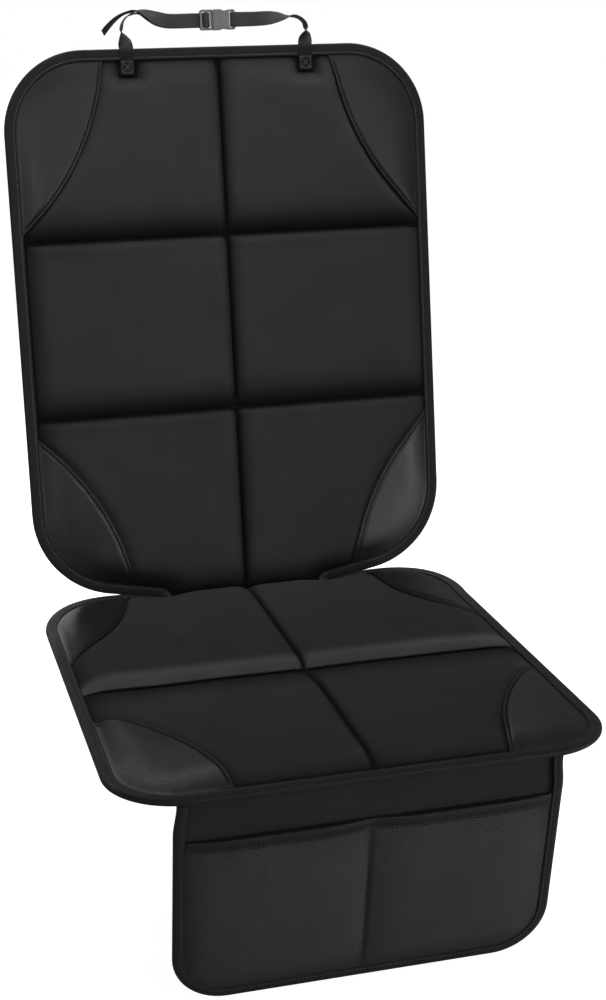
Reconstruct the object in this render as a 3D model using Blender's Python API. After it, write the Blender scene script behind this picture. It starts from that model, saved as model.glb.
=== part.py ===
"""Car seat protector mat: a quilted pad folded at its crease, with a pocket flap and a headrest strap.

Metres, +Z up. The origin is the middle of the seat panel's underside, +X is to the right of someone
who looks at the mat, and -Y is the front. On the pad, u runs across, s runs along the cloth from the
fold (up the back is positive, forward over the seat is negative) and w stands off its underside.
"""

import math

import bmesh
import bpy
from mathutils import Vector
from mathutils.geometry import delaunay_2d_cdt

# Clearance between pieces that are sewn or lie together
GAP = 0.0003

# Outline of the mat over its edge binding
BACK_HALF = 0.230
BACK_LENGTH = 0.591
BACK_TOP_RADIUS = 0.086
BACK_LOW_RADIUS = 0.095
SEAT_FLARE = 0.002
SEAT_LENGTH = 0.498
SEAT_REAR_RADIUS = 0.075
SEAT_FRONT_RADIUS = 0.068
NECK_HALF = 0.0965
NOTCH_HALF = 0.0010
NOTCH_RISE = math.radians(10.8)

# How the mat sits on the car seat
BACK_LEAN = math.radians(7.8)
FOLD_RADIUS = 0.0080
CURL = 0.0080
CURL_SHIFT = 0.0030
CURL_SPAN = 0.050
CURL_LENGTH = 0.090

# Quilting
RIM = 0.0032
UNDER_RISE = 0.0003
PUFF = 0.0125
BACK_ROWS = (0.205, 0.393)
SEAT_ROW = -0.2505
COLUMN_SWELL = 0.022
ROW_SWELL = 0.034
FOLD_SWELL = 0.042
EDGE_SWELL = 0.034
SEAM_SWELL = 0.016
SEAM_DIP = 0.45
SWELL_POWER = 2.4

# Corner patches: how far each seam starts in from the side, and along the side from the corner
BACK_TOP_PATCH = (0.110, 0.200)
BACK_LOW_PATCH = (0.110, 0.198)
SEAT_REAR_PATCH = (0.099, 0.180)
SEAT_FRONT_PATCH = (0.110, 0.195)
PATCH_BULGE = 0.024
PATCH_THICK = 0.0012
PATCH_GAP = 0.0004
SEAM_GROOVE = 0.0012

# Edge binding
TAPE_WIDTH = 0.0120
TAPE_THICK = 0.0010

# Pocket flap under the seat panel's front edge
FLAP_HANG = math.radians(11.2)
FLAP_DROP = 0.2214
FLAP_HALF = 0.179
FLAP_TOP_INSET = 0.003
FLAP_TAPER = 0.030
FLAP_RADIUS = 0.052
FLAP_THICK = 0.0014
FLAP_BEND = 0.0025
FLAP_TAB = 0.016
FLAP_TAPE_WIDTH = 0.0100

# Mesh pockets on the flap
POCKET_TOP = 0.041
POCKET_MOUTH = 0.0070
POCKET_BULGE = 0.0105
POCKET_DEEPEN = 0.060
POCKET_SWELL = 0.055
POCKET_SEAM_HALF = 0.0012
MESH_THICK = 0.0008
MESH_PITCH = 0.0200
MESH_HOLE = 0.0115
MESH_MARGIN = 0.012
HEM_HEIGHT = 0.011
HEM_THICK = 0.0006

# Webbing and where it is sewn on
WEB_WIDTH = 0.015
WEB_THICK = 0.0012
ANCHOR_U = 0.097
ANCHOR_DEPTH = 0.027
ANCHOR_MARGIN = 0.002
ANCHOR_SWELL = 0.018

# How the webbing rises off the back panel's top edge, turns edge on and comes down flat to the buckle
LEFT_ARCH_U = 0.086
LEFT_ARCH_BASE = 0.019
LEFT_ARCH_TOP = 0.035
LEFT_ARCH_OUT = 0.004
LEFT_FLAT_U = 0.048
RIGHT_ARCH_U = 0.083
RIGHT_ARCH_BASE = 0.0165
RIGHT_ARCH_TOP = 0.0295
RIGHT_ARCH_OUT = 0.002
RIGHT_FLAT_U = 0.043
FLAT_TAIL_U = 0.025
TAIL_TOP = 0.0375
TAIL_REACH = 0.0345
TAIL_DROP = 0.0215
TAIL_TWIST = math.radians(24.0)
SEWN_START_U = 0.026
SEWN_END_U = 0.040
SEWN_FLAT_U = 0.032

# Side release buckle, along u from the buckle's own middle
BUCKLE_RISE = 0.027
BUCKLE_STAND = 0.006
BUCKLE_HALF = 0.0105
BUCKLE_CORNER = 0.0022
LATCH_END = -0.0170
LATCH_BAR = 0.0024
LATCH_SLOT = 0.0036
LATCH_SHOULDER = -0.0033
LATCH_THICK = 0.0042
SLOT_HALF = 0.0083
TONGUE_HALF = 0.0022
TONGUE_TIP = 0.0080
PRONG_INNER = 0.0052
PRONG_OUTER = 0.0073
PRONG_HEAD = 0.0096
PRONG_HEAD_START = 0.0048
PRONG_TIP = 0.0110
SOCKET_END = 0.0210
SOCKET_SHELL_END = 0.0142
SOCKET_THICK = 0.0080
SOCKET_WAIST = 0.0088
SOCKET_WAIST_U = 0.0085
CAVITY_END = 0.0124
CAVITY_CLEARANCE = 0.0005
WINDOW_START = 0.0040

# Facet sizes
ARC_TURN = math.radians(11.5)
TIP_STEP = 0.0003
EDGE_STEP = 0.150
CURL_STEP = 0.009
SLIVER = 1e-6
BESIDE_SEAM = (0.003, 0.010, 0.022, 0.040)
COLUMN_SHARES = (0.304, 0.630, 0.783, 0.861)
SEAM_CLEAR = 0.004
RING_STEP = 0.008
GRID_MARGIN = 0.013
FLOOR_MARGIN = 0.006
REST_RADIUS = 0.110
REST_S = 0.300
HEM_STEPS = (0.0, 0.006, 0.016, 0.030, 0.048)
HEM_LEAD = 0.002
POCKET_SEAM_STEP = 0.030

# Derived sizes
ANCHOR_HALF = WEB_WIDTH / 2 + ANCHOR_MARGIN
SEAT_HALF = BACK_HALF + SEAT_FLARE
FLAP_TOP_HALF = FLAP_HALF - FLAP_TOP_INSET
EDGE = TAPE_THICK + GAP
FOLD_TURN = math.pi / 2 - BACK_LEAN
FOLD_ARC = FOLD_RADIUS * FOLD_TURN / 2
FOLD_Y = SEAT_LENGTH / 2 - FOLD_ARC
FRONT_Y = -SEAT_LENGTH / 2
FLAP_TURN = math.pi / 2 + FLAP_HANG
FLAP_ARC = FLAP_BEND * FLAP_TURN
MESH_BACK = FLAP_THICK + GAP + HEM_THICK + GAP
WEB_ON_PAD = RIM + GAP + TAPE_THICK + GAP + WEB_THICK / 2


def clear_scene():
    for old in list(bpy.data.objects):
        bpy.data.objects.remove(old)


def material(name, colour, roughness, metallic=0.0):
    made = bpy.data.materials.new(name)
    made.use_nodes = True
    shader = made.node_tree.nodes["Principled BSDF"]
    shader.inputs["Base Color"].default_value = (*colour, 1.0)
    shader.inputs["Roughness"].default_value = roughness
    shader.inputs["Metallic"].default_value = metallic
    return made


def finish_object(name, bm, colour, roughness, crease=35.0):
    """Turns a bmesh into a named object with outward faces and its own material."""
    bmesh.ops.recalc_face_normals(bm, faces=bm.faces)
    bmesh.ops.triangulate(bm, faces=bm.faces)
    mesh = bpy.data.meshes.new(name)
    bm.to_mesh(mesh)
    bm.free()
    mesh.materials.append(material(name, colour, roughness))
    mesh.shade_smooth()
    mesh.set_sharp_from_angle(angle=math.radians(crease))
    made = bpy.data.objects.new(name, mesh)
    bpy.context.scene.collection.objects.link(made)
    return made


# Flat outlines

def smooth(t):
    t = min(max(t, 0.0), 1.0)
    return t * t * (3.0 - 2.0 * t)


def swell(distance, width):
    """Rises from 0 at a seam to 1 at width away from it, steeply at first."""
    t = min(max(distance / width, 0.0), 1.0)
    return 1.0 - (1.0 - t) ** SWELL_POWER


def arc_at(corner, before, after, radius):
    """Points of the arc of that radius which rounds a corner between its two neighbours."""
    a = (before - corner).normalized()
    b = (after - corner).normalized()
    half = a.angle(b) / 2
    if radius <= 0.0 or half > math.radians(89.5):
        return [corner]
    cut = radius / math.tan(half)
    centre = corner + (a + b).normalized() * (radius / math.sin(half))
    start = corner + a * cut - centre
    end = corner + b * cut - centre
    turn = math.pi - 2 * half
    count = max(2, round(min(turn / ARC_TURN, turn * radius / TIP_STEP)))
    points = []
    for i in range(count + 1):
        t = i / count
        weight_a = math.sin((1 - t) * turn) / math.sin(turn)
        weight_b = math.sin(t * turn) / math.sin(turn)
        points.append(centre + start * weight_a + end * weight_b)
    return points


def rounded(corners):
    """Closed outline through (u, v, radius) corners, with long edges divided."""
    points = []
    for i, (u, v, radius) in enumerate(corners):
        before = Vector(corners[i - 1][:2])
        after = Vector(corners[(i + 1) % len(corners)][:2])
        points += arc_at(Vector((u, v)), before, after, radius)
    return divided(points, closed=True)


def divided(points, closed=False):
    """The same line with points at most EDGE_STEP apart, and closer beside the fold."""
    out = []
    ends = points[1:] + points[:1] if closed else points[1:]
    for a, b in zip(points, ends):
        beside_fold = closed and min(abs(a.y), abs(b.y)) < FOLD_RADIUS
        step = CURL_STEP if beside_fold else EDGE_STEP
        parts = max(1, math.ceil((b - a).length / step))
        out += [a.lerp(b, k / parts) for k in range(parts)]
    return out if closed else out + [points[-1]]


def mat_outline():
    """Finished edge of the whole mat, counterclockwise from the back panel's top right corner."""
    low = NOTCH_HALF + (BACK_HALF - NECK_HALF) * math.tan(NOTCH_RISE)
    tip = NOTCH_HALF * 0.9
    left = [
        (-BACK_HALF, BACK_LENGTH, BACK_TOP_RADIUS),
        (-BACK_HALF, low, BACK_LOW_RADIUS),
        (-NECK_HALF, NOTCH_HALF, tip),
        (-NECK_HALF, -NOTCH_HALF, tip),
        (-SEAT_HALF, -NOTCH_HALF, SEAT_REAR_RADIUS),
        (-SEAT_HALF, -SEAT_LENGTH, SEAT_FRONT_RADIUS),
    ]
    right = [(-u, s, radius) for u, s, radius in reversed(left)]
    return rounded(left + right)


def inset(line, depth, closed=True):
    """The line moved to its left by depth, which is inward on a counterclockwise outline."""
    out = []
    last = len(line) - 1
    for i, here in enumerate(line):
        before = line[i - 1] if closed or i > 0 else None
        after = line[(i + 1) % len(line)] if closed or i < last else None
        normals = []
        for a, b in ((before, here), (here, after)):
            if a is not None and b is not None:
                along = (b - a).normalized()
                normals.append(Vector((-along.y, along.x)))
        if len(normals) == 2:
            shift = (normals[0] + normals[1]) / (1.0 + normals[0].dot(normals[1]))
        else:
            shift = normals[0]
        out.append(here + shift * depth)
    return out


def inside(outline, p):
    """Whether a flat point lies within a closed outline."""
    within = False
    for a, b in zip(outline, outline[1:] + outline[:1]):
        if (a.y > p.y) != (b.y > p.y):
            if p.x < a.x + (p.y - a.y) / (b.y - a.y) * (b.x - a.x):
                within = not within
    return within


def line_distance(line, p, closed=True):
    best = math.inf
    ends = line[1:] + line[:1] if closed else line[1:]
    for a, b in zip(line, ends):
        along = b - a
        t = min(max((p - a).dot(along) / along.length_squared, 0.0), 1.0)
        best = min(best, (p - a - along * t).length)
    return best


def triangulate(loops, chains, points):
    """Delaunay triangles of flat points that keep every loop and chain as edges.

    The third result gives, for each point that was put in, its place among the points that came out.
    """
    flat = []
    edges = []
    for loop in loops:
        first = len(flat)
        flat += loop
        edges += [(first + i, first + (i + 1) % len(loop)) for i in range(len(loop))]
    for chain in chains:
        first = len(flat)
        flat += chain
        edges += [(first + i, first + i + 1) for i in range(len(chain) - 1)]
    flat += points
    result = delaunay_2d_cdt([Vector(p) for p in flat], edges, [], 0, 1e-6, True)
    verts, triangles, sources = result[0], result[2], result[3]
    place_of = {}
    for out_index, ids in enumerate(sources):
        for source in ids:
            place_of[source] = out_index
    return verts, [tuple(t) for t in triangles], place_of


def middle(verts, triangle):
    return (verts[triangle[0]] + verts[triangle[1]] + verts[triangle[2]]) / 3.0


def within(verts, triangle, outline, holes=()):
    """Whether a triangle lies in an outline, in none of its holes, and isn't a sliver on its edge."""
    p = middle(verts, triangle)
    if any(inside(hole, p) for hole in holes):
        return False
    return inside(outline, p) and line_distance(outline, p) > SLIVER


def rim_edges(triangles):
    """Edges that only one of the triangles has, in that triangle's direction."""
    seen = {}
    for t in triangles:
        for a, b in ((t[0], t[1]), (t[1], t[2]), (t[2], t[0])):
            seen[(a, b)] = t
    return [(a, b, t) for (a, b), t in seen.items() if (b, a) not in seen]


def rim_loop(triangles):
    """The rim's points in order, for a region with one rim."""
    after = {a: b for a, b, _ in rim_edges(triangles)}
    first = next(iter(after))
    loop = [first]
    while after[loop[-1]] != first:
        loop.append(after[loop[-1]])
    return loop


def slab(verts, triangles, place, low, high):
    """Closed solid between two heights over a flat set of triangles, holes included."""
    bm = bmesh.new()
    used = sorted({i for t in triangles for i in t})
    top = {i: bm.verts.new(place(verts[i].x, verts[i].y, high(verts[i]))) for i in used}
    under = {i: bm.verts.new(place(verts[i].x, verts[i].y, low(verts[i]))) for i in used}
    for t in triangles:
        bm.faces.new([top[i] for i in t])
        bm.faces.new([under[i] for i in reversed(t)])
    for a, b, _ in rim_edges(triangles):
        bm.faces.new([top[b], top[a], under[a], under[b]])
    return bm


def band(line, section, place, closed=True):
    """A strip of constant section (depth from the edge, height) carried along a flat line."""
    bm = bmesh.new()
    rails = [inset(line, depth, closed) for depth, _ in section]
    rings = []
    for i in range(len(line)):
        ring = [place(rail[i].x, rail[i].y, height) for rail, (_, height) in zip(rails, section)]
        rings.append([bm.verts.new(p) for p in ring])
    count = len(section)
    pairs = list(zip(rings, rings[1:] + rings[:1])) if closed else list(zip(rings, rings[1:]))
    for ring, following in pairs:
        for j in range(count):
            k = (j + 1) % count
            bm.faces.new([ring[j], ring[k], following[k], following[j]])
    if not closed:
        bm.faces.new(rings[0])
        bm.faces.new(rings[-1])
    return bm


def tape_section(width, inner_low, inner_high):
    """U of folded tape: its open ends at width, its outer fold at 0."""
    bevel = TAPE_THICK * 0.6
    low = inner_low - TAPE_THICK
    high = inner_high + TAPE_THICK
    return [
        (width, inner_high),
        (TAPE_THICK, inner_high),
        (TAPE_THICK, inner_low),
        (width, inner_low),
        (width, low),
        (bevel, low),
        (0.0, low + bevel),
        (0.0, high - bevel),
        (bevel, high),
        (width, high),
    ]


# The folded pad

def pad_point(u, s, w):
    """Where a point of the flat pad goes when the mat is folded at its crease."""
    bent = min(max(s, -FOLD_ARC), FOLD_ARC)
    angle = bent / FOLD_RADIUS + FOLD_TURN / 2
    straight = s - bent
    radius = FOLD_RADIUS - w
    y = FOLD_Y + radius * math.sin(angle) + straight * math.cos(angle)
    z = FOLD_RADIUS - radius * math.cos(angle) + straight * math.sin(angle)
    return Vector((u, y, z))


def on_mat(u, s, w):
    """A point of the folded mat; beside the neck the seat panel is free of the fold and curls up."""
    p = pad_point(u, s, w)
    if s < 0.0:
        free = smooth((abs(u) - NECK_HALF) / CURL_SPAN)
        unbent = Vector((u, FOLD_Y + FOLD_ARC + s, w))
        p = p.lerp(unbent, free)
        p += Vector((0.0, -CURL_SHIFT, CURL)) * (free * smooth(1.0 + s / CURL_LENGTH))
    return p


def corner_patches():
    """Name, panel sign, and seam circle (centre, radius) of each corner patch."""
    corners = [
        ("back_top", BACK_HALF, BACK_LENGTH, -1.0, BACK_TOP_PATCH),
        ("back_low", BACK_HALF, 0.0, 1.0, BACK_LOW_PATCH),
        ("seat_rear", SEAT_HALF, 0.0, -1.0, SEAT_REAR_PATCH),
        ("seat_front", SEAT_HALF, -SEAT_LENGTH, 1.0, SEAT_FRONT_PATCH),
    ]
    found = []
    for name, u, s, inward, (across, along) in corners:
        for side, side_name in ((-1.0, "left"), (1.0, "right")):
            start = Vector((side * (u - across), s))
            end = Vector((side * u, s + inward * along))
            chord = end - start
            radius = (chord.length_squared / 4 + PATCH_BULGE ** 2) / (2 * PATCH_BULGE)
            out = Vector((side * along, -inward * across)).normalized()
            centre = (start + end) / 2 + out * (radius - PATCH_BULGE)
            panel = 1.0 if name.startswith("back") else -1.0
            found.append((f"{name}_patch_{side_name}", panel, centre, radius, start, end))
    return found


def seam_arc(centre, radius, start, end):
    """Points along a patch seam, running a little past the mat's edge at both ends."""
    first = math.atan2(start.y - centre.y, start.x - centre.x)
    turn = math.atan2(end.y - centre.y, end.x - centre.x) - first
    turn = (turn + math.pi) % (2 * math.pi) - math.pi
    over = math.copysign(TAPE_WIDTH / radius, turn)
    count = 14
    step = (turn + 2 * over) / count
    return [
        centre + radius * Vector((math.cos(first - over + i * step), math.sin(first - over + i * step)))
        for i in range(count + 1)
    ]


def top_height(p, outline, patches):
    """Height of the quilted top above the pad's underside."""
    rise = swell(line_distance(outline, p) - TAPE_WIDTH - GAP, EDGE_SWELL)
    rise *= swell(abs(p.x), COLUMN_SWELL)
    rise *= swell(abs(p.y), FOLD_SWELL)
    for row in (*BACK_ROWS, SEAT_ROW):
        rise *= swell(abs(p.y - row), ROW_SWELL)
    for _, panel, centre, radius, _, _ in patches:
        if panel * p.y > 0.0:
            off_seam = abs((p - centre).length - radius)
            rise *= 1.0 - SEAM_DIP * (1.0 - swell(off_seam, SEAM_SWELL))
    across = max(abs(abs(p.x) - ANCHOR_U) - ANCHOR_HALF, 0.0)
    below = max(BACK_LENGTH - ANCHOR_DEPTH - ANCHOR_MARGIN - p.y, 0.0)
    rise *= swell(math.hypot(across, below), ANCHOR_SWELL)
    return RIM + PUFF * rise


def fold_rows():
    return [FOLD_ARC * k / 3 for k in range(-3, 4)]


def pad_grid(outline, patches):
    """Flat points of the quilted top, closer together beside every seam."""
    across = [0.0, *BESIDE_SEAM, ANCHOR_U - ANCHOR_HALF, ANCHOR_U + ANCHOR_HALF]
    across += [BACK_HALF * share for share in COLUMN_SHARES]
    across = sorted({side * u for u in across for side in (-1.0, 1.0)})
    lines = [-SEAT_LENGTH, SEAT_ROW, 0.0, *BACK_ROWS, BACK_LENGTH]
    along = set(fold_rows())
    for low, high in zip(lines, lines[1:]):
        along |= {low, high, (low + high) / 2}
        for step in BESIDE_SEAM:
            if step > FOLD_ARC * 1.2 or (low != 0.0 and high != 0.0):
                along |= {low + step, high - step}
    points = []
    clear = TAPE_WIDTH + GRID_MARGIN
    for s in along:
        for u in across:
            p = Vector((u, s))
            if not inside(outline, p) or line_distance(outline, p) < clear:
                continue
            near_seam = any(
                panel * s > 0.0 and abs((p - centre).length - radius) < SEAM_CLEAR
                for _, panel, centre, radius, _, _ in patches
            )
            if not near_seam:
                points.append(p)
    for side in (-1.0, 1.0):
        for u in (-ANCHOR_HALF, 0.0, ANCHOR_HALF):
            for depth in (TAPE_WIDTH + RING_STEP, ANCHOR_DEPTH + ANCHOR_MARGIN, ANCHOR_DEPTH * 1.4):
                points.append(Vector((side * ANCHOR_U + u, BACK_LENGTH - depth)))
    return points


def neck_inside():
    """Half width of the pad's bare cloth where the fold crosses its neck."""
    return NECK_HALF - TAPE_WIDTH - 3 * GAP


def pad_layout():
    """Flat triangles of the pad's top and the outlines that it was made from."""
    outline = mat_outline()
    patches = corner_patches()
    rim = inset(outline, EDGE)
    chains = []
    for _, _, centre, radius, start, end in patches:
        chains.append(seam_arc(centre, radius, start, end))
        chains.append(seam_arc(centre, radius - SEAM_GROOVE, start, end))
    neck = neck_inside()
    for row in fold_rows():
        chains.append([Vector((u, row)) for u in (-neck, -neck / 2, neck / 2, neck)])
    rings = [inset(outline, depth) for depth in (TAPE_WIDTH + GAP, TAPE_WIDTH + RING_STEP)]
    verts, triangles, _ = triangulate([rim, *rings], chains, pad_grid(outline, patches))
    triangles = [t for t in triangles if within(verts, t, rim)]
    return outline, patches, verts, triangles


def patch_of(p, patches):
    """Index of the patch that covers a flat point, -1 in a seam groove, or None."""
    for index, (_, panel, centre, radius, _, _) in enumerate(patches):
        distance = (p - centre).length
        if panel * p.y > 0.0 and distance < radius:
            return index if distance < radius - SEAM_GROOVE else -1
    return None


def rest_triangle(s):
    """Corners of a flat face in the middle of a panel's underside, clear of its edges and the flap."""
    turns = [math.pi / 2 + math.tau * k / 3 for k in range(3)]
    return [Vector((REST_RADIUS * math.cos(a), s + REST_RADIUS * math.sin(a))) for a in turns]


def floor_height(p):
    """The underside rises a little from each panel's flat middle, on which it rests."""
    resting = rest_triangle(-SEAT_LENGTH / 2) + rest_triangle(REST_S)
    return 0.0 if any((p - corner).length < SLIVER for corner in resting) else UNDER_RISE


def pad_floor(outline, rim):
    """Flat triangles of the pad's underside, which keep the top's rim points first."""
    rings = [inset(outline, TAPE_WIDTH + GAP), rest_triangle(-SEAT_LENGTH / 2), rest_triangle(REST_S)]
    neck = neck_inside()
    chains = [[Vector((u, row)) for u in (-neck, 0.0, neck)] for row in fold_rows()]
    curled = [-CURL_LENGTH * share for share in (0.2, 0.4, 0.6, 0.8, 1.0)]
    points = [
        Vector((side * (NECK_HALF + CURL_SPAN * share), s))
        for side in (-1.0, 1.0)
        for share in (0.0, 0.35, 0.7, 1.0, 1.5)
        for s in curled
    ]
    clear = TAPE_WIDTH + FLOOR_MARGIN
    points = [p for p in points if inside(outline, p) and line_distance(outline, p) > clear]
    verts, triangles, place_of = triangulate([rim, *rings], chains, points)
    return verts, [t for t in triangles if within(verts, t, rim)], place_of


def quilted_pad(outline, patches, verts, triangles, heights):
    """The pad, with a shallow bed under each corner patch."""
    bed = PATCH_THICK + PATCH_GAP
    level = {t: 0 if patch_of(middle(verts, t), patches) is None else 1 for t in triangles}
    bm = bmesh.new()
    top = {}
    levels_at = {}
    for t in triangles:
        for i in t:
            key = (i, level[t])
            levels_at.setdefault(i, set()).add(level[t])
            if key not in top:
                height = heights[i] - bed * level[t]
                top[key] = bm.verts.new(on_mat(verts[i].x, verts[i].y, height))
        bm.faces.new([top[(i, level[t])] for i in t])
    owner = {}
    for t in triangles:
        for a, b in ((t[0], t[1]), (t[1], t[2]), (t[2], t[0])):
            owner[(a, b)] = t
    for (a, b), t in owner.items():
        other = owner.get((b, a))
        if other is not None and level[t] == 0 and level[other] == 1:
            bm.faces.new([top[(b, 0)], top[(a, 0)], top[(a, 1)], top[(b, 1)]])
    loop = rim_loop(triangles)
    flat, floor, place_of = pad_floor(outline, [verts[i] for i in loop])
    under = [bm.verts.new(on_mat(p.x, p.y, floor_height(p))) for p in flat]
    for t in floor:
        bm.faces.new([under[i] for i in reversed(t)])
    below = {i: under[place_of[k]] for k, i in enumerate(loop)}
    for a, b, t in rim_edges(triangles):
        wall = [top[(b, level[t])], top[(a, level[t])]]
        wall += [top[(a, 1)]] if level[t] == 0 and 1 in levels_at[a] else []
        wall += [below[a], below[b]]
        wall += [top[(b, 1)]] if level[t] == 0 and 1 in levels_at[b] else []
        bm.faces.new(wall)
    loose = [v for v in bm.verts if not v.link_faces]
    bmesh.ops.delete(bm, geom=loose, context="VERTS")
    return finish_object("quilted_pad", bm, (0.030, 0.030, 0.032), 0.85)


def corner_patch(index, patches, verts, triangles, heights):
    """Leatherette skin over one corner, with its edges under the binding."""
    mine = [t for t in triangles if patch_of(middle(verts, t), patches) == index]
    height_at = {tuple(verts[i]): heights[i] for t in mine for i in t}
    bm = slab(
        verts,
        mine,
        on_mat,
        lambda p: height_at[tuple(p)] - PATCH_THICK,
        lambda p: height_at[tuple(p)],
    )
    return finish_object(patches[index][0], bm, (0.022, 0.022, 0.023), 0.42)


def edge_binding(outline):
    section = tape_section(TAPE_WIDTH, -GAP, RIM + GAP)
    bm = band(outline, section, on_mat)
    return finish_object("edge_binding", bm, (0.032, 0.032, 0.034), 0.75)


# The pocket flap

def flap_point(u, v, w):
    """Flap point: v runs down from the bend, w stands off its rear face."""
    bent = min(max(v + FLAP_ARC, 0.0), FLAP_ARC)
    angle = FLAP_TURN * bent / FLAP_ARC
    straight = v + FLAP_ARC - bent
    radius = FLAP_BEND + w
    centre_y = FRONT_Y + TAPE_WIDTH + GAP + FLAP_BEND + FLAP_THICK
    centre_z = -GAP - FLAP_THICK - FLAP_BEND
    y = centre_y - radius * math.sin(angle) - straight * math.cos(angle)
    z = centre_z + radius * math.cos(angle) - straight * math.sin(angle)
    return Vector((u, y, z))


def flap_half(v):
    return FLAP_TOP_HALF + FLAP_TOP_INSET * smooth((v - FLAP_BEND) / FLAP_TAPER)


def flap_edge(start):
    """Finished edge down the left side, along the bottom and up the right side from v = start."""
    stations = sorted({0.0, POCKET_TOP} | {FLAP_BEND + FLAP_TAPER * k / 3 for k in range(4)})
    left = [Vector((-flap_half(v), v)) for v in stations if v >= start]
    corner = Vector((-FLAP_HALF, FLAP_DROP))
    left += arc_at(corner, Vector((-FLAP_HALF, 0.0)), Vector((0.0, FLAP_DROP)), FLAP_RADIUS)
    right = [Vector((-p.x, p.y)) for p in reversed(left)]
    return divided(left + right)


def inward(line, depth):
    """The flap's edge moved towards the flap's middle."""
    return inset(line, -depth, closed=False)


def front_flap():
    """Fabric flap, with a tab that is sewn flat under the pad."""
    edge = inward(flap_edge(0.0), EDGE)
    top = [Vector((side * (FLAP_TOP_HALF - EDGE), -FLAP_ARC - FLAP_TAB)) for side in (1.0, -1.0)]
    outline = edge + top
    chains = []
    for k in range(5):
        v = -FLAP_ARC * k / 4
        chains.append([Vector((side * (FLAP_TOP_HALF - EDGE), v)) for side in (-1.0, 1.0)])
    verts, triangles, _ = triangulate([outline], chains, [])
    triangles = [t for t in triangles if within(verts, t, outline)]
    bm = slab(verts, triangles, flap_point, lambda p: 0.0, lambda p: FLAP_THICK)
    return finish_object("front_flap", bm, (0.028, 0.028, 0.030), 0.85)


def flap_binding():
    section = tape_section(FLAP_TAPE_WIDTH, -GAP, MESH_BACK + MESH_THICK + GAP)
    section = [(-depth, height) for depth, height in section]
    bm = band(flap_edge(0.0), section, flap_point, closed=False)
    return finish_object("flap_binding", bm, (0.032, 0.032, 0.034), 0.75)


POCKET_EDGE = flap_edge(0.0)


def on_pocket(u, v, w):
    """A point of the mesh's bulging sheet, with w from the sheet's rear face."""
    side = line_distance(POCKET_EDGE, Vector((u, v)), closed=False) - FLAP_TAPE_WIDTH - GAP
    rise = swell(side, POCKET_SWELL) * swell(abs(u) - POCKET_SEAM_HALF, POCKET_SWELL)
    bulge = POCKET_MOUTH + (POCKET_BULGE - POCKET_MOUTH) * smooth((v - POCKET_TOP) / POCKET_DEEPEN)
    return flap_point(u, v, MESH_BACK + bulge * rise + w)


def hem_stations():
    """Places across the pocket's top where the mesh and its hem share their facets."""
    end = flap_half(POCKET_TOP) - FLAP_TAPE_WIDTH - 3 * GAP
    near = [POCKET_SEAM_HALF + step for step in HEM_STEPS] + [end - step for step in HEM_STEPS]
    near += [(POCKET_SEAM_HALF + end) / 2]
    return sorted({0.0} | {side * u for u in near for side in (-1.0, 1.0)})


def mesh_holes(edge):
    """Square gaps in rows and columns over both pockets."""
    holes = []
    limit = inward(edge, FLAP_TAPE_WIDTH + MESH_MARGIN * 0.4)
    columns = int((FLAP_HALF - FLAP_TAPE_WIDTH - 2 * MESH_MARGIN) / MESH_PITCH)
    first_row = POCKET_TOP + HEM_HEIGHT + MESH_MARGIN
    rows = int((FLAP_DROP - FLAP_TAPE_WIDTH - MESH_MARGIN - first_row) / MESH_PITCH)
    for side in (-1.0, 1.0):
        for i in range(columns):
            for j in range(rows):
                u = side * (MESH_MARGIN + MESH_PITCH * i)
                v = first_row + MESH_PITCH * j
                far = u + side * MESH_HOLE
                hole = [Vector(p) for p in ((u, v), (far, v), (far, v + MESH_HOLE), (u, v + MESH_HOLE))]
                if all(inside(limit, p) for p in hole):
                    holes.append(hole)
    return holes


def pocket_mesh():
    """One mesh sheet that bulges in two pockets, with its edges caught in the flap's binding."""
    low = flap_edge(POCKET_TOP)
    edge = inward(low, EDGE)
    top = [Vector((u, POCKET_TOP)) for u in reversed(hem_stations())]
    outline = edge + top
    holes = mesh_holes(flap_edge(0.0))
    shared = [
        Vector((u, POCKET_TOP + drop))
        for u in hem_stations()
        for drop in (HEM_HEIGHT * 0.5, HEM_HEIGHT + HEM_LEAD)
    ]
    seam_rows = [POCKET_TOP + POCKET_SEAM_STEP * k for k in range(1, 6)]
    seam = [Vector((u, v)) for v in seam_rows for u in (-POCKET_SEAM_HALF, POCKET_SEAM_HALF)]
    flat_margin = inward(low, FLAP_TAPE_WIDTH + GAP)
    verts, triangles, _ = triangulate([outline, *holes], [flat_margin], shared + seam)
    kept = [t for t in triangles if within(verts, t, outline, holes)]
    bm = slab(verts, kept, on_pocket, lambda p: 0.0, lambda p: MESH_THICK)
    return finish_object("pocket_mesh", bm, (0.060, 0.060, 0.062), 0.7)


def pocket_hem():
    """Tape folded over the mesh's top edge."""
    line = [Vector((u, POCKET_TOP - GAP - HEM_THICK)) for u in hem_stations()]
    deep = GAP + HEM_THICK
    section = [
        (deep + HEM_HEIGHT, MESH_THICK + GAP),
        (HEM_THICK, MESH_THICK + GAP),
        (HEM_THICK, -GAP),
        (deep + HEM_HEIGHT, -GAP),
        (deep + HEM_HEIGHT, -GAP - HEM_THICK),
        (0.0, -GAP - HEM_THICK),
        (0.0, MESH_THICK + GAP + HEM_THICK),
        (deep + HEM_HEIGHT, MESH_THICK + GAP + HEM_THICK),
    ]
    bm = band(line, section, on_pocket, closed=False)
    return finish_object("pocket_hem", bm, (0.026, 0.026, 0.028), 0.8)


# The headrest strap, in its own frame: x across, y up the back from its top edge, z off the back

ACROSS = Vector((1.0, 0.0, 0.0))
UP = Vector((0.0, 1.0, 0.0))
REAR = Vector((0.0, 0.0, -1.0))


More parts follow.
